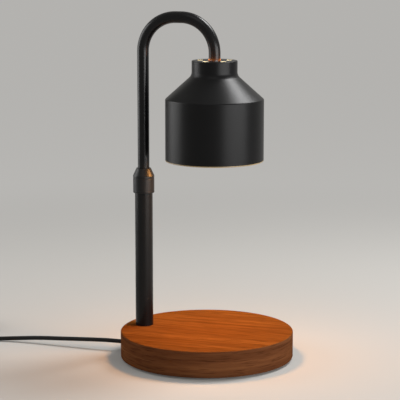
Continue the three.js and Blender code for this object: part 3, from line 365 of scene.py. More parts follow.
def oiledWood(values):
    material, shader = newMaterial("oiledStainedBeech", "#9a5426", 0.85, {"Specular IOR Level": 0.0})
    place = addNode(material, "ShaderNodeTexCoord").outputs
    upright = addNode(material, "ShaderNodeSeparateXYZ", {0: place["Normal"]}).outputs[2]
    level = addNode(material, "ShaderNodeMath", {0: upright}, operation="ABSOLUTE").outputs[0]
    facesUp = addNode(material, "ShaderNodeMapRange", {
        "Value": level, "From Min": 0.45, "From Max": 0.75}).outputs[0]
    overTop = addNode(material, "ShaderNodeMapping", {
        "Vector": place["Object"], "Scale": values["overTop"]})
    roundSide = addNode(material, "ShaderNodeMapping", {
        "Vector": place["Object"], "Location": (0, 0, 0.31), "Scale": values["roundSide"]})
    grain = addNode(material, "ShaderNodeMix", {
        "Factor": facesUp, 4: roundSide.outputs[0], 5: overTop.outputs[0]},
        data_type="VECTOR").outputs[1]
    bands = addNode(material, "ShaderNodeTexNoise", {
        "Vector": grain, "Scale": 1 / (values["bands"] * mm), "Detail": 3.0, "Roughness": 0.55,
        "Distortion": 0.35})
    streaks = addNode(material, "ShaderNodeTexNoise", {
        "Vector": grain, "Scale": 1 / (values["streaks"] * mm), "Detail": 5.0, "Roughness": 0.6,
        "Distortion": 0.4})
    pores = addNode(material, "ShaderNodeTexNoise", {
        "Vector": grain, "Scale": 1 / (values["pores"] * mm), "Detail": 2.0, "Roughness": 0.5})
    wide = addNode(material, "ShaderNodeMapRange", {
        "Value": bands.outputs["Fac"], "From Min": 0.34, "From Max": 0.66})
    faint = addNode(material, "ShaderNodeMapRange", {"Value": facesUp, "To Min": 0.5, "To Max": 0.28})
    narrow = addNode(material, "ShaderNodeMapRange", {
        "Value": streaks.outputs["Fac"], "From Min": 0.34, "From Max": 0.66, "To Min": faint.outputs[0]})
    filled = addNode(material, "ShaderNodeMapRange", {
        "Value": pores.outputs["Fac"], "From Min": 0.30, "From Max": 0.46, "To Min": 0.3})
    darker, lighter = [hexColour(colour) for colour in values["bandColours"]]
    ground = addNode(material, "ShaderNodeMix", {
        "Factor": wide.outputs[0], 6: darker, 7: lighter}, data_type="RGBA")
    streaked = addNode(material, "ShaderNodeMix", {
        "Factor": narrow.outputs[0], 6: hexColour(values["streakColour"]), 7: ground.outputs[2]},
        data_type="RGBA")
    poreDark = addNode(material, "ShaderNodeMix", {
        "Factor": filled.outputs[0], 6: hexColour(values["poreColour"]), 7: streaked.outputs[2]},
        data_type="RGBA")
    # painted shade: the side is drawn greyer and darker than the top, by how upright the surface is
    shadeGreying, shadeDarkening = [addNode(material, "ShaderNodeMapRange", {
        "Value": level, "From Min": 0.3, "From Max": 0.9, "To Min": side, "To Max": top}).outputs[0]
        for side, top in (values["saturation"], values["brightness"])]
    stainedAndShaded = addNode(material, "ShaderNodeHueSaturation", {
        "Saturation": shadeGreying, "Value": shadeDarkening, "Color": poreDark.outputs[2]})
    inStreak, between = values["roughness"]
    dulled = addNode(material, "ShaderNodeMapRange", {
        "Value": narrow.outputs[0], "To Min": inStreak, "To Max": between})
    bump = addNode(material, "ShaderNodeBump", {
        "Height": filled.outputs[0], "Distance": values["poreDepth"] * mm, "Strength": 0.5})
    return feed(material, shader, {
        "Base Color": stainedAndShaded.outputs[0], "Roughness": dulled.outputs[0], "Normal": bump.outputs[0]})


# Steel spun on a lathe and sprayed in semi-gloss black: broad soft highlights over faint turning rings
spunValues = {
    "axis": shadeAxis,
    "colour": "#0c0c0d",
    "rings": 0.9,  # how far apart the lathe's rings lie; this and the next three are in mm
    "peel": 1.1,  # the sprayed coat's ripple
    "cloud": 26,
    "depth": 0.02,
    "roughness": (0.33, 0.39),
}


def spunBlack(values):
    (x, y), (low, high) = values["axis"], values["roughness"]
    material, shader = newMaterial("spunSteelBlackEnamel", values["colour"], low, {
        "Specular IOR Level": 0.16})
    place = addNode(material, "ShaderNodeTexCoord").outputs["Object"]
    middle = addNode(material, "ShaderNodeMapping", {
        "Vector": place, "Location": (-x * mm, -y * mm, 0)})
    turning = addNode(material, "ShaderNodeMapping", {
        "Vector": middle.outputs[0], "Scale": (0.02, 0.02, 1)})
    rings = addNode(material, "ShaderNodeTexNoise", {
        "Vector": turning.outputs[0], "Scale": 1 / (values["rings"] * mm), "Detail": 3.0})
    peel = addNode(material, "ShaderNodeTexNoise", {
        "Vector": place, "Scale": 1 / (values["peel"] * mm), "Detail": 2.0})
    cloud = addNode(material, "ShaderNodeTexNoise", {
        "Vector": place, "Scale": 1 / (values["cloud"] * mm)})
    height = addNode(material, "ShaderNodeMix", {
        "Factor": 0.35, 2: rings.outputs["Fac"], 3: peel.outputs["Fac"]}, data_type="FLOAT")
    gloss = addNode(material, "ShaderNodeMapRange", {
        "Value": cloud.outputs["Fac"], "To Min": low, "To Max": high})
    bump = addNode(material, "ShaderNodeBump", {
        "Height": height.outputs[0], "Distance": values["depth"] * mm, "Strength": 0.35})
    return feed(material, shader, {"Roughness": gloss.outputs[0], "Normal": bump.outputs[0]})


wood = oiledWood(woodValues)
shadeBlack = spunBlack(spunValues)
# Drawn steel tube in gloss black enamel: tight bright lines on a near-black ground
tubeBlack = grained("tubeBlackEnamel", ("#0a0a0b", "#0f0f10"), 0.26, 0.9, 0.008,
                    {"Specular IOR Level": 0.22}, spread=0.03)
# Turned aluminium, black anodised: a little softer and greyer than the tubes
collarBlack = grained("blackAnodisedAluminium", ("#0d0d0e", "#131314"), 0.38, 0.5, 0.01,
                      {"Specular IOR Level": 0.26}, spread=0.04, stretch=(0.2, 0.2, 1.6))
# White stove enamel inside the shade: takes the lamp's light, so the vents and the mouth glow
innerEnamel = grained("warmWhiteEnamel", ("#f0e9d8", "#f5efe1"), 0.35, 1.4, 0.01)
# The rim's edge and a thin band of its outside, painted tan: painted lamp light, a thin golden line
rimPaintedGlow = grained("tanLacqueredRim", ("#98815a", "#a48e68"), 0.34, 0.8, 0.008)
# Mild steel, zinc plated and passivated: pale grey metal with a soft sheen
zincSteel = grained("zincPlatedSteel", ("#a9abad", "#b9bbbd"), 0.34, 0.35, 0.006, {"Metallic": 1.0})
# Nickel-free brass, stamped: yellow metal, satin
stampedBrass = grained("stampedBrass", ("#b8924a", "#c7a25c"), 0.32, 0.4, 0.006, {"Metallic": 1.0})
# Steatite ceramic, pressed and unglazed: dry chalky white with fine pits
steatite = grained("steatiteCeramic", ("#ddd7ca", "#e9e4d9"), 0.72, 0.3, 0.03)
# Nylon, injection moulded: ivory, satin
nylonIvory = grained("mouldedNylon", ("#cfcabd", "#dad6ca"), 0.5, 0.25, 0.008)
# Silicone-sheathed flat twin lead: off-white and dull
siliconeSheath = grained("siliconeSheath", ("#c3beb2", "#cdc8bc"), 0.62, 0.5, 0.01)
# PVC-sheathed mains lead, extruded: black with a dull, slightly waxy sheen
pvcBlack = grained("pvcSheathBlack", ("#0f0f0f", "#151515"), 0.48, 0.8, 0.02,
                   {"Specular IOR Level": 0.2}, spread=0.05)
# PVC moulded over the lead at the plug and the dimmer: as the lead, with a fine mould texture
mouldedPvc = grained("mouldedPvcBlack", ("#161617", "#1d1d1e"), 0.55, 0.4, 0.03, spread=0.05)
# ABS, moulded in a spark-eroded tool: even matt black with a fine grain
sparkAbs = grained("sparkTexturedAbs", ("#1b1b1c", "#222223"), 0.58, 0.45, 0.05, spread=0.04)
# ABS, moulded in a polished tool: satin black
satinAbs = grained("satinAbs", ("#232324", "#29292a"), 0.36, 0.9, 0.008, spread=0.03)
# Pad-printed ink: flat off-white marks on the dimmer
paleInk = grained("padPrintedInk", ("#cfcdc7", "#d9d7d2"), 0.5, 0.3, 0.004)
# Steel cover, powder coated: matt black with a fine orange peel
powderBlack = grained("powderCoatedSteel", ("#1b1b1c", "#232324"), 0.55, 0.7, 0.03)
# Nitrile rubber pads: dull black
rubberPad = grained("nitrileRubber", ("#161616", "#1e1e1e"), 0.8, 0.4, 0.04)
# Woven nylon hook-and-loop strap: a dull fuzz of fine loops
strapNylon = grained("wovenNylonStrap", ("#1c1c1e", "#343436"), 0.85, 0.35, 0.15, spread=0.05)
# Glass-fibre board under solder resist: smooth dark green
boardResist = grained("solderResistGreen", ("#1f4f36", "#2c6546"), 0.38, 1.6, 0.02)
# Phenolic moulding of the control: dull blue
controlBlue = grained("mouldedBluePhenolic", ("#2c4a7a", "#35568c"), 0.5, 0.4, 0.01)
# Vacuum-metallised pressed glass: a bright mirror, warmed by the burner in front of it
mirrorCoat = grained("metallisedGlass", ("#e6dcc6", "#f0e8d6"), 0.1, 3, 0.01,
                     {"Metallic": 1.0, "Emission Color": hexColour("#ff9d4c"),
                      "Emission Strength": 0.35}, spread=0.02)
# The same glass from behind: dull gold, with some of the light coming through the coating
mirrorBack = grained("metallisedGlassBack", ("#b9a98c", "#c9bb9f"), 0.2, 3, 0.01,
                     {"Metallic": 0.6, "Emission Color": hexColour("#ffd9a0"),
                      "Emission Strength": 0.6}, spread=0.04)
# Quartz burner, lit: the brightest spot in the lamp's mouth
litQuartz = grained("litQuartz", ("#fff0d0", "#fff4dc"), 0.15, 2, 0.004,
                    {"Emission Color": hexColour("#ffc27a"), "Emission Strength": 6.0}, spread=0.02)
# Clear soda-lime front glass: nearly unseen apart from its gloss
clearGlass = grained("clearFrontGlass", ("#f6efe0", "#fbf6ea"), 0.06, 6, 0.002,
                     {"Alpha": 0.16, "Specular IOR Level": 0.5}, spread=0.02)
print("materials made")

# Camera
cameraValues = {
    "place": (0.4567, -1.3218, 0.3804),  # in metres; the angles are in degrees, the rest in millimetres
    "pitch": -9.788,
    "turn": 19.304,
    "lens": 148.43,
    "sensor": 36,
}
bpy.ops.object.camera_add(location=cameraValues["place"], rotation=(
    math.radians(90 + cameraValues["pitch"]), 0, math.radians(cameraValues["turn"])))
camera = bpy.context.object
camera.data.lens = cameraValues["lens"]
camera.data.sensor_width = cameraValues["sensor"]
bpy.context.scene.camera = camera

# Lead: from the base to the dimmer, and from there through the coil to the plug
leadValues = {
    "radius": 1.9,
    "coilCentre": (-264, 20),
    "coilHeight": 2.7,
    "coilRadius": 28,
    "coilTurns": 9.5,
    "coilLayers": 4,
    "coilPitch": 4.35,
    "coilSteps": 24,
    "climbTurns": 0.5,
    "reliefFullness": (1.75, 0.55),  # its radius over the lead's at its root, and what that loses
    "steps": 4,  # along each span, and round each quarter
}
toDimmer = [
    (-72.3, -6, 8.65), (-79, -6, 8.65), (-87, -6, 8.65),
    (-94, -6, 8.5), (-103, -6, 8.1), (-113, -6, 7.55),
    (-123, -6, 7), (-133, -6, 6.4), (-143, -6, 5.85),
    (-153, -6.1, 5.3), (-165, -6.4, 4.4), (-178, -7.4, 3.3),
    (-191, -9.5, 2.4), (-204, -13.4, 1.95), (-217, -19.6, 1.95),
    (-229, -27.4, 2.1), (-240, -35, 3.2), (-250.5, -41, 5.6),
    (-260, -44, 8), (-268.7, -44, 8),
]
toCoil = [
    (-323.3, -44, 8), (-332, -44, 8), (-340, -43.6, 6.5),
    (-347.2, -41.2, 4.8), (-353, -36, 3.3), (-356, -28.9, 2.3),
    (-356, -22, 1.95), (-353, -15.2, 1.95), (-347.2, -10.6, 1.95),
    (-340, -8, 1.95), (-328, -8, 1.95), (-312, -8, 2),
    (-296, -8, 2.2), (-282, -8, 2.6), (-273, -8, 2.7),
]
toPlug = [
    (-272.2, 48, 15.75), (-277.1, 48, 14.93), (-282.6, 48, 12.2),
    (-288, 48, 9.32), (-293.5, 48, 7.71), (-298, 48, 7.5),
]


def coilPoints(values):  # spirals in and out in layers, and climbs where it reverses
    perLayer = values["coilTurns"] / values["coilLayers"]
    points = []
    steps = round(values["coilTurns"] * values["coilSteps"])
    for step in range(steps + 1):
        turn = step / values["coilSteps"]
        layer = min(int(turn / perLayer), values["coilLayers"] - 1)
        within = turn - layer * perLayer
        inward = perLayer - within if layer % 2 else within
        climb = 0
        for k in range(1, values["coilLayers"]):
            share = (turn - k * perLayer) / values["climbTurns"] + 0.5
            climb += min(max(share, 0), 1)
        radius = values["coilRadius"] - values["coilPitch"] * inward
        x, y = onCircle(radius, math.tau * turn - math.pi / 2, values["coilCentre"])
        points.append((x, y, values["coilHeight"] + climb * values["coilPitch"]))
    return points


def lengthOf(points):  # in metres
    return sum((Vector(b) - Vector(a)).length for a, b in zip(points, points[1:])) * mm


def leadCurve(values, name, points, fullness=None):  # one open spline
    data = bpy.data.curves.new(name, "CURVE")
    data.dimensions = "3D"
    data.bevel_depth = values["radius"] * mm
    data.bevel_resolution = values["steps"]
    data.resolution_u = values["steps"]
    data.use_fill_caps = True
    spline = data.splines.new("BEZIER")
    spline.bezier_points.add(len(points) - 1)
    for k, (point, place) in enumerate(zip(spline.bezier_points, points)):
        point.co = [value * mm for value in place]
        point.handle_left_type = point.handle_right_type = "AUTO"
        point.radius = fullness[k] if fullness else 1
    piece = bpy.data.objects.new(name, data)
    bpy.context.scene.collection.objects.link(piece)
    return piece


leadNear = paint(leadCurve(leadValues, "lead_to_dimmer", toDimmer), pvcBlack)
finished(leadNear, "base", "cord_black", "cord_to_dimmer")
farRoute = toCoil + coilPoints(leadValues) + toPlug
leadFar = paint(leadCurve(leadValues, "lead_to_plug", farRoute), pvcBlack)
finished(leadFar, "base", "cord_black", "cord_to_coil", "cord_coil", "cord_to_plug")


def relief(values, name, route):  # a tapered moulded sleeve over 20 mm of the lead
    full, loss = values["reliefFullness"]
    spans = len(route) - 1
    fullness = [full - loss * k / spans for k in range(spans + 1)]
    makeActive(leadCurve(values, name, route, fullness))
    bpy.ops.object.convert(target="MESH")
    piece = smoothed(cleaned(bpy.context.object), 40, weighted=False)
    return finished(paint(piece, mouldedPvc), "base", "dimmer_black")


reliefNear = relief(leadValues, "dimmer_relief_near", [
    (-264.8, -44, 8), (-260, -44, 8), (-255.5, -43.15, 6.85),
    (-250.5, -41, 5.6), (-245.5, -38.1, 4.35)])
reliefFar = relief(leadValues, "dimmer_relief_far", [
    (-327.2, -44, 8), (-332, -44, 8), (-336, -43.9, 7.3),
    (-340, -43.6, 6.5), (-343.7, -42.7, 5.65)])
print("leads laid, m:", round(lengthOf(toDimmer), 4), round(lengthOf(farRoute), 4))

# Base
baseValues = {
    "outline": [(63, 1.8), (75, 1.8, 0.9), (75, 24.4, 0.9), (63, 24.4)],
    "poleReach": 58.2,
    "pocket": (32, 10.5, 0.8, 16.4),  # radius at the middle and at the pole, and from where to where
    "rebate": (41.3, 13.8, 0.8, 3.3),
    "plate": (41, 13.5, 1.8, 3.3),
    "plateEdge": 0.35,
    "studHole": (5.3, 15.4, 25.4),  # radius, and from where to where, as in every rod
    "screwHole": (1.75, 2.3, 12.3),
    "screwReach": 36.5,
    "sink": [(3.12, 1.78), (1.75, 3.15), (1.75, 4)],
    "clampHole": (1.6, 15.4, 21.7),
    "clampScrews": ((-28, -12.5), (-28, 0.5)),
    "cordHole": (2.2, (-58.2, -6, 8.65), 20),  # radius, start and length
}
screwPlaces = [onCircle(baseValues["screwReach"], math.tau * k / 3) for k in range(3)]
poleAt = (-baseValues["poleReach"], 0)


def woodenBase(values):
    piece = turned("wooden_base", values["outline"], 180)
    cutAway(
        piece,
        belt("pocket", *values["pocket"], values["poleReach"]),
        belt("rebate", *values["rebate"], values["poleReach"]),
        rod(*values["studHole"], poleAt),
        crossRod(*values["cordHole"], (0, -90, 0)),
        *[rod(*values["screwHole"], place, 24) for place in screwPlaces],
        *[rod(*values["clampHole"], place, 24) for place in values["clampScrews"]],
    )
    return dressed(piece, wood)


def coverPlate(values):
    piece = belt("cover_plate", *values["plate"], values["poleReach"])
    bottom = values["plate"][2]
    startEdit(piece)
    pickEdges(piece, lambda co: abs(co.z - bottom) < nearby)
    roundPicked(values["plateEdge"], 2)
    endEdit()
    for place in screwPlaces:
        cutAway(piece, turned("sink", values["sink"], 32, place))
    return dressed(piece, powderBlack)


# Countersunk cross-head screws of the cover plate
screwValues = {
    "outline": [(2.73, 1.8), (2.78, 1.85), (1.45, 3.13), (1.363, 9.2), (0.25, 10.8)],
    "slot": ((-1.7, -0.33, 1.3), (1.7, 0.33, 2.7)),
    "turn": 31,  # in degrees, from one screw to the next
}


def crossHeadScrew(name, values):
    piece = turned(name, values["outline"], 32)
    for turn in (0, 90):
        cutAway(piece, settle(block("slot", *values["slot"]), rotation=(0, 0, turn)))
    return dressed(piece, zincSteel)


def repeated(first, places, turn, slot, node):  # the first is placed last, once it has been copied
    name = first.name[:-1]
    for k in reversed(range(len(places))):
        place, angles = (*places[k], 0), (0, 0, turn * k)
        piece = copyOf(first, f"{name}{k + 1}", place, angles) if k else settle(first, place)
        finished(piece, "base", slot, f"{node}_{k + 1}")


finished(woodenBase(baseValues), "base", "base_wood", "wood_base")
finished(coverPlate(baseValues), "base", "plate_black", "bottom_plate")
repeated(crossHeadScrew("cover_screw_1", screwValues), screwPlaces, screwValues["turn"],
         "zinc_steel", "plate_screw")

footValues = {
    "outline": [  # radius, height and rounding of a pad that is dished in its middle
        (3.1, 0.45), (3.5, 0.4, 0.2), (3.9, 0, 0.2), (5.5, 0, 0.45), (6, 1.8, 0.12), (5.4, 1.8)],
    "reach": 61,
    "count": 4,
}
footPlaces = [onCircle(footValues["reach"], math.tau * (k + 0.5) / footValues["count"])
              for k in range(footValues["count"])]
firstFoot = paint(smoothed(turned("rubber_foot_1", footValues["outline"], 48)), rubberPad)
repeated(firstFoot, footPlaces, 0, "foot_rubber", "foot")

paintNodes(nylonIvory, "cord_clamp", "terminal_block", "collet", "guide_bush")
paintNodes(zincSteel, "tube_insert", "hollow_stud", "stud_washer", "stud_nut", "clamp_screw_1",
           "clamp_screw_2", "shade_nipple", "shade_washer", "shade_nut", "holder_screw_1",
           "holder_screw_2", "lamp_pin_1", "lamp_pin_2", "dimmer_shaft", "dimmer_screw_1",
           "dimmer_screw_2")
paintNodes(stampedBrass, "terminal_screw_1", "terminal_screw_2")
print("base made")

# Pole, twist lock and arm
poleValues = {
    "tube": [(6.75, 24.4), (7.75, 24.4, 0.2), (7.75, 152.2, 0.25), (6.75, 152.2)],
    "collarFoot": [(8.05, 142.7, 0.2), (9.25, 142.7, 0.4)],
    "grooves": (144.9, 155.5),
    "groove": (9.25, 9, 0.25, 0.08),  # the radius outside and at its floor, half its width, rounding
    "collarHead": [(9.25, 157.7, 0.4), (6.25, 164.3, 0.4), (5.35, 164.3, 0.2), (5.35, 163.5),
                   (8.05, 153.7)],
    "armRadius": 5.05,
    "armWall": 0.8,
    "armBottom": 102.0,
    "armSides": 48,
    "bendHeight": 265.5,
    "bendRadius": 29.8,
    "bendSteps": 30,
    "armReach": 65,
    "armEnd": 259.7,
}


def tubeOf(name, outline, material):
    return paint(smoothed(turned(name, outline, 96, poleAt, closed=True, segments=3)), material)


def twistCollar(values):
    outline = list(values["collarFoot"])
    radius, floor, half, soft = values["groove"]
    for height in values["grooves"]:
        outline += [(radius, height - half, soft), (floor, height - half, soft),
                    (floor, height + half, soft), (radius, height + half, soft)]
    return tubeOf("twist_collar", outline + values["collarHead"], collarBlack)


def archedArm(values):
    x, low, bend = poleAt[0], values["armBottom"], values["bendHeight"]
    piece = circle("arched_arm", values["armRadius"], (x, 0, low), values["armSides"])
    startEdit(piece)
    run = values["armReach"] - 2 * values["bendRadius"]
    extrudePicked(0, 0, bend - low)
    for side in (0, 1):
        centre = (x + values["bendRadius"] + side * run) * mm
        bpy.ops.mesh.spin(steps=values["bendSteps"], angle=-math.pi / 2,
                          center=(centre, 0, bend * mm), axis=(0, 1, 0))
        if side == 0:
            extrudePicked(run, 0, 0)
    extrudePicked(0, 0, values["armEnd"] - bend)
    endEdit()
    cleaned(piece)
    applyModifier(piece, "SOLIDIFY", thickness=values["armWall"] * mm, offset=-1)
    return paint(smoothed(piece, 40), tubeBlack)


finished(tubeOf("lower_pole", poleValues["tube"], tubeBlack), "base", "tube_black", "lower_tube")
finished(twistCollar(poleValues), "collar", "tube_black", "lock_collar")
finished(archedArm(poleValues), "arm", "tube_black", "arm_tube")
print("pole and arm made")

# Shade
shadeValues = {
    "centre": shadeAxis,
    "rim": 173.8,
    "shoulder": 226.6,
    "neck": 246.9,
    "cap": 259.4,
    "radius": 42.1,
    "neckRadius": 19.5,
    "wall": 1,
    "rimRound": 0.4,
    "rimBand": 0.9,  # how far up the rim's outside the painted lamp glow reaches
    "shoulderRound": (0.7, 1.7),  # inside and outside
    "neckRound": (7, 6),
    "capRound": (0.4, 0.6),
    "nippleHole": 4.2,
    "vents": (5, 13),  # how many, and how far from the middle
    "vent": (2.5, 257.4, 260.4),
    "ventOuter": 17,  # no vent's wall lies further out
    "ventSkin": 0.05,  # a vent's wall lies this far within the cap's two faces
}


def spunShade(values):
    rim, shoulder, neck, cap = (values[k] for k in ("rim", "shoulder", "neck", "cap"))
    outer, collar, wall, hole = (values[k] for k in ("radius", "neckRadius", "wall", "nippleHole"))
    rimRound, glowTop = values["rimRound"], rim + values["rimBand"]
    (shoulderIn, shoulderOut), (neckIn, neckOut), (capIn, capOut) = (
        values[k] for k in ("shoulderRound", "neckRound", "capRound"))
    shift = wall * math.tan(math.atan2(outer - collar, neck - shoulder) / 2)
    piece = turned("spun_shade", [
        (hole, cap - wall), (collar - wall, cap - wall, capIn), (collar - wall, neck - shift, neckIn),
        (outer - wall, shoulder - shift, shoulderIn), (outer - wall, rim, rimRound),
        (outer, rim, rimRound), (outer, glowTop), (outer, shoulder, shoulderOut), (collar, neck, neckOut),
        (collar, cap, capOut), (hole, cap)], 144, values["centre"], closed=True, segments=6)
    (count, reach), start = values["vents"], math.pi
    cutAway(piece, *[rod(*values["vent"], onCircle(reach, start + math.tau * k / count, values["centre"]),
                         32) for k in range(count)])
    paint(smoothed(piece, 30), shadeBlack, innerEnamel, rimPaintedGlow)
    middle = Vector(values["centre"]) * mm
    ventLow, ventHigh = (cap - wall + values["ventSkin"]) * mm, (cap - values["ventSkin"]) * mm
    for face in piece.data.polygons:
        out = Vector(face.center[:2]) - middle
        outwards = face.normal.xy.dot(out.normalized())
        if face.center.z < glowTop * mm and outwards > -0.5:  # the rim's edge and its outside up to the glow band: painted lamp glow
            face.material_index = 2
        elif outwards < -0.05 or face.normal.z < -0.2:  # faces inwards or down
            face.material_index = 1
        if ventLow < face.center.z < ventHigh and out.length < values["ventOuter"] * mm:
            face.material_index = 1
    return piece


finished(spunShade(shadeValues), "arm", "shade_black", "shade")
print("shade made")

# Lamp holder and reflector lamp
lampValues = {
    "bracketSize": (12, 11.8, 1.2),  # width, reach to each side and thickness
    "bracketHeights": (233.7, 256.2),
    "bracketBend": 1.2,
    "bracketEdge": 0.15,
    "bracketHole": (4.2, 255.2, 259.4),
    "screwHole": (1.8, 237.7, 40),  # radius, height and length
    "holder": [(9, 228.7), (11.5, 228.7, 1.2), (11.5, 231.9, 0.2), (11.1, 232.3, 0.2),
               (11.1, 233.1, 0.2), (11.5, 233.5, 0.2), (11.5, 241.7, 1.2), (9, 241.7, 0.3),
               (9, 246.7, 1.2), (6, 246.7)],
    "threadHoles": (6.2, 8),  # how far from the middle they start, and their length
    "pinHole": (2.7, 227.7, 237.7),
    "pinReach": 5,
    "base": [(10, 212.9), (11, 212.9, 1.2), (11, 217.4, 0.3), (10.4, 218.1, 0.3),
             (10.4, 223.2, 0.3), (11, 223.9, 0.3), (11, 228.4, 1.2), (6, 228.4)],
    "baseBore": (9.3, 211.9, 217.9),
    "seat": 217.6,
    "flare": 212.6,
    "rim": 184.4,
    "face": 181.4,
    "ledge": (1.3, 183.5),  # width and height of the step that the front glass lies on
    "throat": 5,
    "neckRadius": 9,
    "mouth": 25,
    "glass": 1.3,
    "burner": [(0.7, 198.6), (1.1, 199, 0.3), (4.5, 201.2, 2), (4.5, 211.6, 0.6),
               (3.4, 212.8, 0.4), (4.4, 213.6, 0.3), (4.4, 217.6)],
    "frontGlass": [(22, 182), (23.4, 182, 0.3), (23.4, 183.5, 0.3), (22, 183.5)],
}


def bentBracket(values):
    (width, reach, wall), (foot, under) = values["bracketSize"], values["bracketHeights"]
    hole, height, length = values["screwHole"]
    x = shadeAxis[0]
    piece = added("holder_strap", bpy.ops.mesh.primitive_plane_add, (width * mm, 2 * reach * mm, 1),
                  size=1, location=(x * mm, 0, under * mm))
    startEdit(piece)
    pickEdges(piece, lambda co: abs(abs(co.y) - reach) < nearby)
    bpy.ops.mesh.extrude_edges_move(TRANSFORM_OT_translate={"value": (0, 0, (foot - under) * mm)})
    pickEdges(piece, lambda co: abs(abs(co.y) - reach) < nearby and co.z > under - nearby)
    roundPicked(values["bracketBend"], 4)
    endEdit()
    cleaned(piece)
    if piece.data.polygons[0].normal.z < 0:
        startEdit(piece)
        bpy.ops.mesh.flip_normals()
        endEdit()
    applyModifier(piece, "SOLIDIFY", thickness=wall * mm, offset=1)
    cutAway(piece, rod(*values["bracketHole"], shadeAxis),
            crossRod(hole, (x, -length / 2, height), length, (-90, 0, 0), 32))
    applyModifier(piece, "BEVEL", width=values["bracketEdge"] * mm, segments=2, limit_method="ANGLE")
    return paint(smoothed(piece, 35), zincSteel)


def ceramicHolder(values):
    piece = turned("ceramic_holder", values["holder"], 72, shadeAxis)
    (x, y), (hole, height), (start, length) = (
        shadeAxis, values["screwHole"][:2], values["threadHoles"])
    cutAway(piece, *[rod(*values["pinHole"], (x + side * values["pinReach"], y), 32) for side in (-1, 1)])
    cutAway(piece, *[crossRod(hole, (x, side * start, height), length, (-90 * side, 0, 0), 32)
                     for side in (-1, 1)])
    return dressed(piece, steatite)


def ceramicBase(values):
    piece = turned("lamp_cement_base", values["base"], 72, shadeAxis)
    cutAway(piece, rod(*values["baseBore"], shadeAxis, 72))
    return dressed(piece, steatite)


def reflector(values):
    glass, neck, mouth, throat = (values[k] for k in ("glass", "neckRadius", "mouth", "throat"))
    flare, seat, face, (step, ledge) = (values[k] for k in ("flare", "seat", "face", "ledge"))

    def curve(narrow, wide, top, bottom, steps):
        return [(narrow + (wide - narrow) * math.sin(k / steps * math.pi / 2),
                 top + (bottom - top) * k / steps) for k in range(steps + 1)]

    inside = curve(neck - glass, mouth - glass - step, flare - glass, ledge, 11)
    outside = curve(neck, mouth, flare, values["rim"], 14)
    piece = turned("mirror_reflector", [
        (throat, seat), (throat, flare - glass), *inside, (mouth - glass, ledge),
        (mouth - glass, face, 0.2), (mouth, face, 0.3), *reversed(outside), (neck, seat, 0.3)],
        48, shadeAxis, closed=True, segments=3)
    smoothed(piece, 25)
    paint(piece, mirrorBack, mirrorCoat)
    for polygon in piece.data.polygons:
        out = Vector((polygon.center.x - shadeAxis[0] * mm, polygon.center.y)).normalized()
        facesIn = polygon.normal.xy.dot(out) < -0.15
        if facesIn and polygon.center.z < flare * mm:
            polygon.material_index = 1
            polygon.use_smooth = False  # pressed facets
    return piece


finished(bentBracket(lampValues), "arm", "zinc_steel", "holder_bracket")
finished(ceramicHolder(lampValues), "arm", "ceramic", "lamp_holder")
finished(ceramicBase(lampValues), "arm", "lamp_ceramic", "lamp_base")
finished(reflector(lampValues), "arm", "lamp_mirror", "lamp_reflector")
burner = turned("quartz_burner", lampValues["burner"], 32, shadeAxis)
finished(paint(smoothed(burner, 50), litQuartz), "arm", "burner_glass", "lamp_burner")
frontGlass = turned("lamp_front_glass_disc", lampValues["frontGlass"], 72, shadeAxis)
finished(paint(smoothed(frontGlass), clearGlass), "arm", "front_glass", "lamp_front_glass")
print("lamp made")


# Leads inside the lamp, from a merged and smoothed copy of their solids
def innerLead(name, node, material):
    copy = nodes[node].copy()
    copy.data = nodes[node].data.copy()
    copy.parent = None
    for key in list(copy.keys()):
        del copy[key]
    copy.name = name
    bpy.context.scene.collection.objects.link(copy)
    cleaned(copy)
    applyModifier(copy, "SUBSURF", levels=1, render_levels=1, boundary_smooth="PRESERVE_CORNERS")
    return paint(smoothed(copy, 60, weighted=False), material)


finished(innerLead("lead_in_base", "cord_tail", pvcBlack), "base", "cord_black", "cord_tail")
finished(innerLead("lead_in_arm", "arm_lead", siliconeSheath), "arm", "lead_silicone", "arm_lead")
poleLead = innerLead("lead_in_pole", "pole_lead", siliconeSheath)
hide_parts("pole_lead")
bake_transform(poleLead)

# Dimmer on the lead
dimmerValues = {
    "centre": (-296, -44),
    "size": (62, 27, 18),  # length, width and height
    "corner": 9,
    "edge": 1.2,
    "parting": 8,
    "partingGroove": 0.35,
    "wall": 1.8,
    "endWall": 4,
    "roof": 14.2,
    "cordHole": (2.2, 26, 7),  # radius, how far from the middle it starts, and length
    "screwReach": 22,
    "trayPost": (3.2, 0.9, 8),  # this and the next are rods: radius, and from where to where
    "coverPost": (3.2, 8, 15.1),
    "trayHole": (1.6, -1, 9),
    "traySink": (2.7, -1, 1.9),
    "coverHole": (1.6, 7, 13.3),
    "dialWell": (11.3, 16, 19),
    "shaftHole": (3.3, 13.2, 18),
    "overcut": 2,  # how far a cutter reaches past what it opens
}
dimmerAt = (*dimmerValues["centre"], 0)


def roundedCase(name, size, heights, corner, edge=0):
    (length, width), (low, high) = size, heights
    piece = block(name, (-length / 2, -width / 2, low), (length / 2, width / 2, high))
    startEdit(piece)
    pickAlong(piece, 2)
    roundPicked(corner, 10)
    if edge:
        pickFaces(piece, lambda normal: abs(normal.z) > 0.9)
        roundPicked(edge, 4)
    endEdit()
    return piece


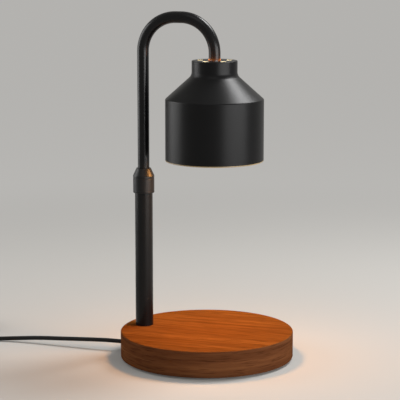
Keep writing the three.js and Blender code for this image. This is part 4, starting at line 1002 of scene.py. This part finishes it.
def dimmerShells(values):
    length, width, height = values["size"]
    parting, wall, end = values["parting"], values["wall"], values["endWall"]
    (hole, start, depth), past = values["cordHole"], values["overcut"]
    shells = []
    for name, (awayLow, awayHigh), inside in (
            ("dimmer_tray", (parting, height + past), (wall, parting + past)),
            ("dimmer_cover", (-past, parting), (parting - past, values["roof"]))):
        shell = roundedCase(name, (length, width), (0, height), values["corner"], values["edge"])
        cutAway(shell, block("away", (-length, -width, awayLow), (length, width, awayHigh)))
        startEdit(shell)
        pickEdges(shell, lambda co: abs(co.z - parting) < nearby)
        roundPicked(values["partingGroove"], 1)
        endEdit()
        hollow = roundedCase("hollow", (length - 2 * end, width - 2 * wall), inside, values["corner"] - end)
        cutAway(shell, hollow, *[crossRod(hole, (side * start, 0, parting), depth, (0, 90 * side, 0), 32)
                                 for side in (-1, 1)])
        shells.append(shell)
    tray, cover = shells
    for side in (-1, 1):
        place = (values["screwReach"] * side, 0)
        joinOnto(tray, rod(*values["trayPost"], place, 32))
        joinOnto(cover, rod(*values["coverPost"], place, 32))
        cutAway(tray, rod(*values["trayHole"], place, 24), rod(*values["traySink"], place, 32))
        cutAway(cover, rod(*values["coverHole"], place, 24))
    cutAway(cover, rod(*values["dialWell"], sides=96), rod(*values["shaftHole"], sides=32))
    return [settle(dressed(shell, sparkAbs), dimmerAt) for shell in shells]


# Its dial, with the printed pointer, and the wedge printed on the cover
dialValues = {
    "outline": [(9, 16.3), (11, 16.3, 0.3), (11, 22.3, 0.9), (8.8, 22.3, 0.3), (8.4, 21.8, 0.3),
                (6, 21.8)],
    "grips": (20, 11.55),  # how many, and how far out they are centred
    "grip": (1.05, 15.3, 23.3),
    "bore": (3.3, 15.3, 19.3),
    "pointer": ((4.6, -0.55, 21.7), (9.6, 0.55, 21.95)),
    "pointerEdge": 0.1,
    "wedge": ((13.2, -1.6, 17.98), (24.2, 1.6, 18.02)),
    "wedgePoint": 0.06,  # the share of its width that is left at its point
}


def gripDial(values):
    piece = turned("dimmer_knob", values["outline"], 120)
    count, reach = values["grips"]
    for k in range(count):
        cutAway(piece, rod(*values["grip"], onCircle(reach, math.tau * k / count), 16))
    cutAway(piece, rod(*values["bore"], sides=32))
    return dressed(piece, satinAbs)


def printedWedge(values):
    low, high = values["wedge"]
    piece = block("dimmer_wedge_mark", low, high)
    startEdit(piece)
    pickEdges(piece, lambda co: co.x < low[0] + nearby)
    bpy.ops.transform.resize(value=(1, values["wedgePoint"], 1),
                             center_override=(low[0] * mm, 0, low[2] * mm))
    endEdit()
    return paint(piece, paleInk)


tray, cover = dimmerShells(dimmerValues)
finished(tray, "base", "dimmer_black", "dimmer_bottom")
finished(cover, "base", "dimmer_black", "dimmer_top")
knob = finished(settle(gripDial(dialValues), dimmerAt), "dial", "dial_black", "dimmer_dial")
pointer = block("dimmer_pointer", *dialValues["pointer"], dialValues["pointerEdge"], 2)
settle(paint(smoothed(pointer), paleInk), dimmerAt, halfTurn)
finished(pointer, "dial", "dial_black")
wedge = finished(settle(printedWedge(dialValues), dimmerAt, halfTurn), "base", "dial_black")
paintNodes(boardResist, "dimmer_board")
paintNodes(controlBlue, "dimmer_control")
print("dimmer made")

# Plug, lying on its wide side, its blades towards -X
plugValues = {
    "place": (-298.3, 48),
    "width": 25,
    "height": 15,
    "sleeve": 20,
    "taper": 10,
    "length": 22,
    "edge": 2,
    "neck": (4.6, 0.8),  # half its width, and its height as a share of the body's
    "sleeveMouth": [(2.3, -0.9), (2.9, -0.8, 0.2)],  # radius, place along and rounding
    "sleeveRoot": [(4.6, 19.5), (4.6, 24)],
    "ribs": (5, 2.5, 3.4),  # how many, where the first starts and from one to the next
    "ribRadius": (2.95, 0.07),  # at the lead's end, and what each millimetre adds
    "rib": ((0, 0), (-0.55, 0.3), (-0.5, 1.2), (0.06, 1.5)),  # what each corner adds to those
    "ribRound": 0.15,
    "thumbGrooves": (3, 12.5, 2.6),  # how many, where the first is and from one to the next
    "thumbGroove": (0.7, 0.25, 14),  # radius, how far outside the face it is centred, and length
    "bladeSpacing": 12.7,
    "blade": (17, 6.35, 1.52),  # length, width and thickness
    "bladeRoot": 3,
    "slot": ((38.7, -1.06, 4.025), (43, 1.06, 10.975)),
    "bladeEdges": (0.6, 0.1),  # at the tip, and all round
    "bladeHole": (1.6, 4.5, 6),  # radius, how far from the tip, and length
}


def plugSleeve(values):  # moulded relief ribs that close round the lead's end
    rings = list(values["sleeveMouth"])
    count, first, spacing = values["ribs"]
    start, growth = values["ribRadius"]
    for k in range(count):
        along = first + spacing * k
        radius = start + growth * along
        rings += [(radius + more, along + further, values["ribRound"]) for more, further in values["rib"]]
    return settle(turned("sleeve", rings + values["sleeveRoot"], 40),
                  (0, 0, values["height"] / 2), (0, 90, 0))


def plugBody(values):
    half, height, (neck, share) = values["width"] / 2, values["height"], values["neck"]
    start, end = values["sleeve"], values["sleeve"] + values["length"]
    piece = block("moulded_plug", (start + values["taper"], -half, 0), (end, half, height))
    startEdit(piece, "FACE")
    pickFaces(piece, lambda normal: normal.x < -0.9)
    extrudePicked(-values["taper"], 0, 0)
    bpy.ops.transform.resize(value=(1, neck / half, share),
                             center_override=(start * mm, 0, height / 2 * mm))
    bpy.ops.mesh.select_mode(type="EDGE")
    bpy.ops.mesh.select_all(action="SELECT")
    roundPicked(values["edge"], 4, clamp=True)
    endEdit()
    joinOnto(piece, plugSleeve(values))
    low, high = values["slot"]
    for side in (-1, 1):
        across = side * values["bladeSpacing"] / 2
        cutAway(piece, settle(block("slot", low, high), (0, across, 0)))
    count, first, spacing = values["thumbGrooves"]
    radius, out, length = values["thumbGroove"]
    for k in range(count):
        for level in (-out, height + out):
            groove = (start + first + spacing * k, -length / 2, level)
            cutAway(piece, crossRod(radius, groove, length, (-90, 0, 0), 16))
    return dressed(piece, mouldedPvc, 35)


def plugBlade(values, name):
    length, width, thick = values["blade"]
    face = values["sleeve"] + values["length"]
    middle, tip = values["height"] / 2, face + length
    tipEdge, edge = values["bladeEdges"]
    hole, inset, depth = values["bladeHole"]
    piece = block(name, (face - values["bladeRoot"], -thick / 2, middle - width / 2),
                  (tip, thick / 2, middle + width / 2))
    startEdit(piece)
    pickEdges(piece, lambda co: co.x > tip - nearby)
    roundPicked(tipEdge, 3)
    endEdit()
    cutAway(piece, crossRod(hole, (tip - inset, -depth / 2, middle), depth, (-90, 0, 0), 32))
    applyModifier(piece, "BEVEL", width=edge * mm, segments=1, limit_method="ANGLE")
    return dressed(piece, stampedBrass)


plug = settle(plugBody(plugValues), (*plugValues["place"], 0), halfTurn)
finished(plug, "base", "cord_black", "plug_body")
firstBlade = plugBlade(plugValues, "plug_contact")
blades = []
for k, side in enumerate((-1, 1)):
    place = (plugValues["place"][0], plugValues["place"][1] + side * plugValues["bladeSpacing"] / 2, 0)
    blades.append(copyOf(firstBlade, f"plug_contact_{k + 1}", place, halfTurn))
    finished(blades[-1], "base", "blade_brass", f"plug_blade_{k + 1}")
bpy.data.objects.remove(firstBlade)

# Strap that ties the coil, on the side towards the lamp
tieValues = {
    "low": (-249.1, 0.06),
    "high": (-233.2, 18.3),
    "middle": 20,
    "width": 10,
    "thickness": 0.65,
    "corner": 1.7,
    "edge": 0.12,
}


def coilTie(values):
    (x0, z0), (x1, z1) = values["low"], values["high"]
    half, wall = values["width"] / 2, values["thickness"]
    piece = block("coil_tie", (x0 + wall, -half, z0 + wall), (x1 - wall, half, z1 - wall))
    startEdit(piece, "FACE")
    pickFaces(piece, lambda normal: abs(normal.y) > 0.9)
    bpy.ops.mesh.delete(type="ONLY_FACE")
    bpy.ops.mesh.select_mode(type="EDGE")
    pickAlong(piece, 1)
    roundPicked(values["corner"], 5)
    bpy.ops.mesh.select_all(action="SELECT")
    bpy.ops.mesh.normals_make_consistent(inside=False)
    endEdit()
    applyModifier(piece, "SOLIDIFY", thickness=wall * mm, offset=1)
    applyModifier(piece, "BEVEL", width=values["edge"] * mm, segments=1, limit_method="ANGLE")
    return settle(paint(smoothed(piece, 40), strapNylon), (0, values["middle"], 0))


tie = finished(coilTie(tieValues), "base", "cord_black")

print("plug and tie made")

# Floor, light and background
stageValues = {
    "floorSize": 40,
    "floorDepth": 0.0001,  # below the feet
    "floor": ("#adaba7", "#383735"),  # its paper by the lamp, and far off, where it takes little light
    "lift": (0.05, 0.46),  # what it shows of itself at those two
    "reach": (0.35, 1.0),  # how far from the lamp the one starts to turn into the other, and ends
    "backdrop": "#b5b3af",
    "worldFill": 0.15,
}


def seenDirectly(owner):  # 1 for what the camera sees, and for what gloss and glass show
    rays = addNode(owner, "ShaderNodeLightPath").outputs
    seen = addNode(owner, "ShaderNodeMath", {0: rays["Is Camera Ray"], 1: rays["Is Glossy Ray"]},
                   operation="MAXIMUM").outputs[0]
    return addNode(owner, "ShaderNodeMath", {0: seen, 1: rays["Is Transmission Ray"]},
                   operation="MAXIMUM").outputs[0]


def matFloor(values):  # matt paper, which gives an even ground that runs into the background
    (near, far), (liftNear, liftFar) = values["floor"], values["lift"]
    paper, shader = newMaterial("matPaper", near, 0.9, {
        "Specular IOR Level": 0.0, "Emission Color": hexColour("#fcfaf6")})
    place = addNode(paper, "ShaderNodeTexCoord").outputs["Object"]
    fromLamp = addNode(paper, "ShaderNodeVectorMath", {0: place}, operation="LENGTH").outputs["Value"]
    farOff = addNode(paper, "ShaderNodeMapRange", {
        "Value": fromLamp, "From Min": values["reach"][0], "From Max": values["reach"][1]},
        interpolation_type="SMOOTHSTEP").outputs[0]
    colour = addNode(paper, "ShaderNodeMix", {
        "Factor": farOff, 6: hexColour(near), 7: hexColour(far)}, data_type="RGBA")
    lift = addNode(paper, "ShaderNodeMapRange", {"Value": farOff, "To Min": liftNear, "To Max": liftFar})
    shown = addNode(paper, "ShaderNodeMath", {0: seenDirectly(paper), 1: lift.outputs[0]},
                    operation="MULTIPLY")
    return feed(paper, shader, {"Base Color": colour.outputs[2], "Emission Strength": shown.outputs[0]})


clearSelection()
bpy.ops.mesh.primitive_plane_add(size=stageValues["floorSize"],
                                 location=(0, 0, -stageValues["floorDepth"]))
floor = bpy.context.object
floor.name = "floor"
paint(floor, matFloor(stageValues))

world = bpy.data.worlds.new("studio")
world.use_nodes = True
bpy.context.scene.world = world
world.node_tree.nodes.clear()
fill = addNode(world, "ShaderNodeBackground", {
    "Color": hexColour("#f4f4f2"), "Strength": stageValues["worldFill"]})
backdrop = addNode(world, "ShaderNodeBackground", {
    "Color": hexColour(stageValues["backdrop"]), "Strength": 1.0})
mixed = addNode(world, "ShaderNodeMixShader", {
    0: seenDirectly(world), 1: fill.outputs[0], 2: backdrop.outputs[0]})
addNode(world, "ShaderNodeOutputWorld", {"Surface": mixed.outputs[0]})


def areaLight(name, place, power, **settings):
    clearSelection()
    bpy.ops.object.light_add(type="AREA", location=place)
    light = bpy.context.object
    light.name = name
    light.data.energy = power
    for setting, value in settings.items():
        setattr(light.data, setting, value)
    return light


softboxes = {  # place, aim, width, height in metres, and power in watts
    "overBack": ((0.40, 0.54, 1.26), (0.0, 0.0, 0.2), 0.4, 0.4, 8.0),
    "backRight": ((0.56, 0.54, 1.1), (0.0, 0.0, 0.2), 0.6, 0.5, 10.0),
    "stripLeft": ((-1.04, -0.1, 0.36), (0.0, 0.0, 0.2), 0.7, 0.9, 7.2),
    "bankRight": ((1.0, -0.4, 0.26), (0.0, 0.0, 0.2), 1.1, 0.42, 10.5),
    "topFront": ((0.15, -0.75, 1.3), (0.0, 0.0, 0.1), 0.8, 0.8, 1.5),
}
for name, (place, aim, width, height, power) in softboxes.items():
    light = areaLight(name, place, power, shape="RECTANGLE", size=width, size_y=height)
    light.rotation_euler = (Vector(aim) - Vector(place)).to_track_quat("-Z", "Y").to_euler()

glows = {  # the lit lamp's own light: height in mm, width in metres, watts, colour, whether upwards
    "glowDown": (180.9, 0.04, 0.34, "#ffb060", False),
    "glowUp": (257.9, 0.034, 0.008, "#fff0c4", True),
    "ventGlow": (259.7, 0.03, 0.022, "#ff8c38", True),
}
for name, (height, width, power, colour, up) in glows.items():
    place = [value * mm for value in (*shadeAxis, height)]
    light = areaLight(name, place, power, shape="DISK", size=width, color=hexColour(colour)[:3])
    light.rotation_euler.x = math.pi if up else 0
    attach(light, "arm")

bpy.context.scene.view_settings.view_transform = "Standard"
print("stage lit")
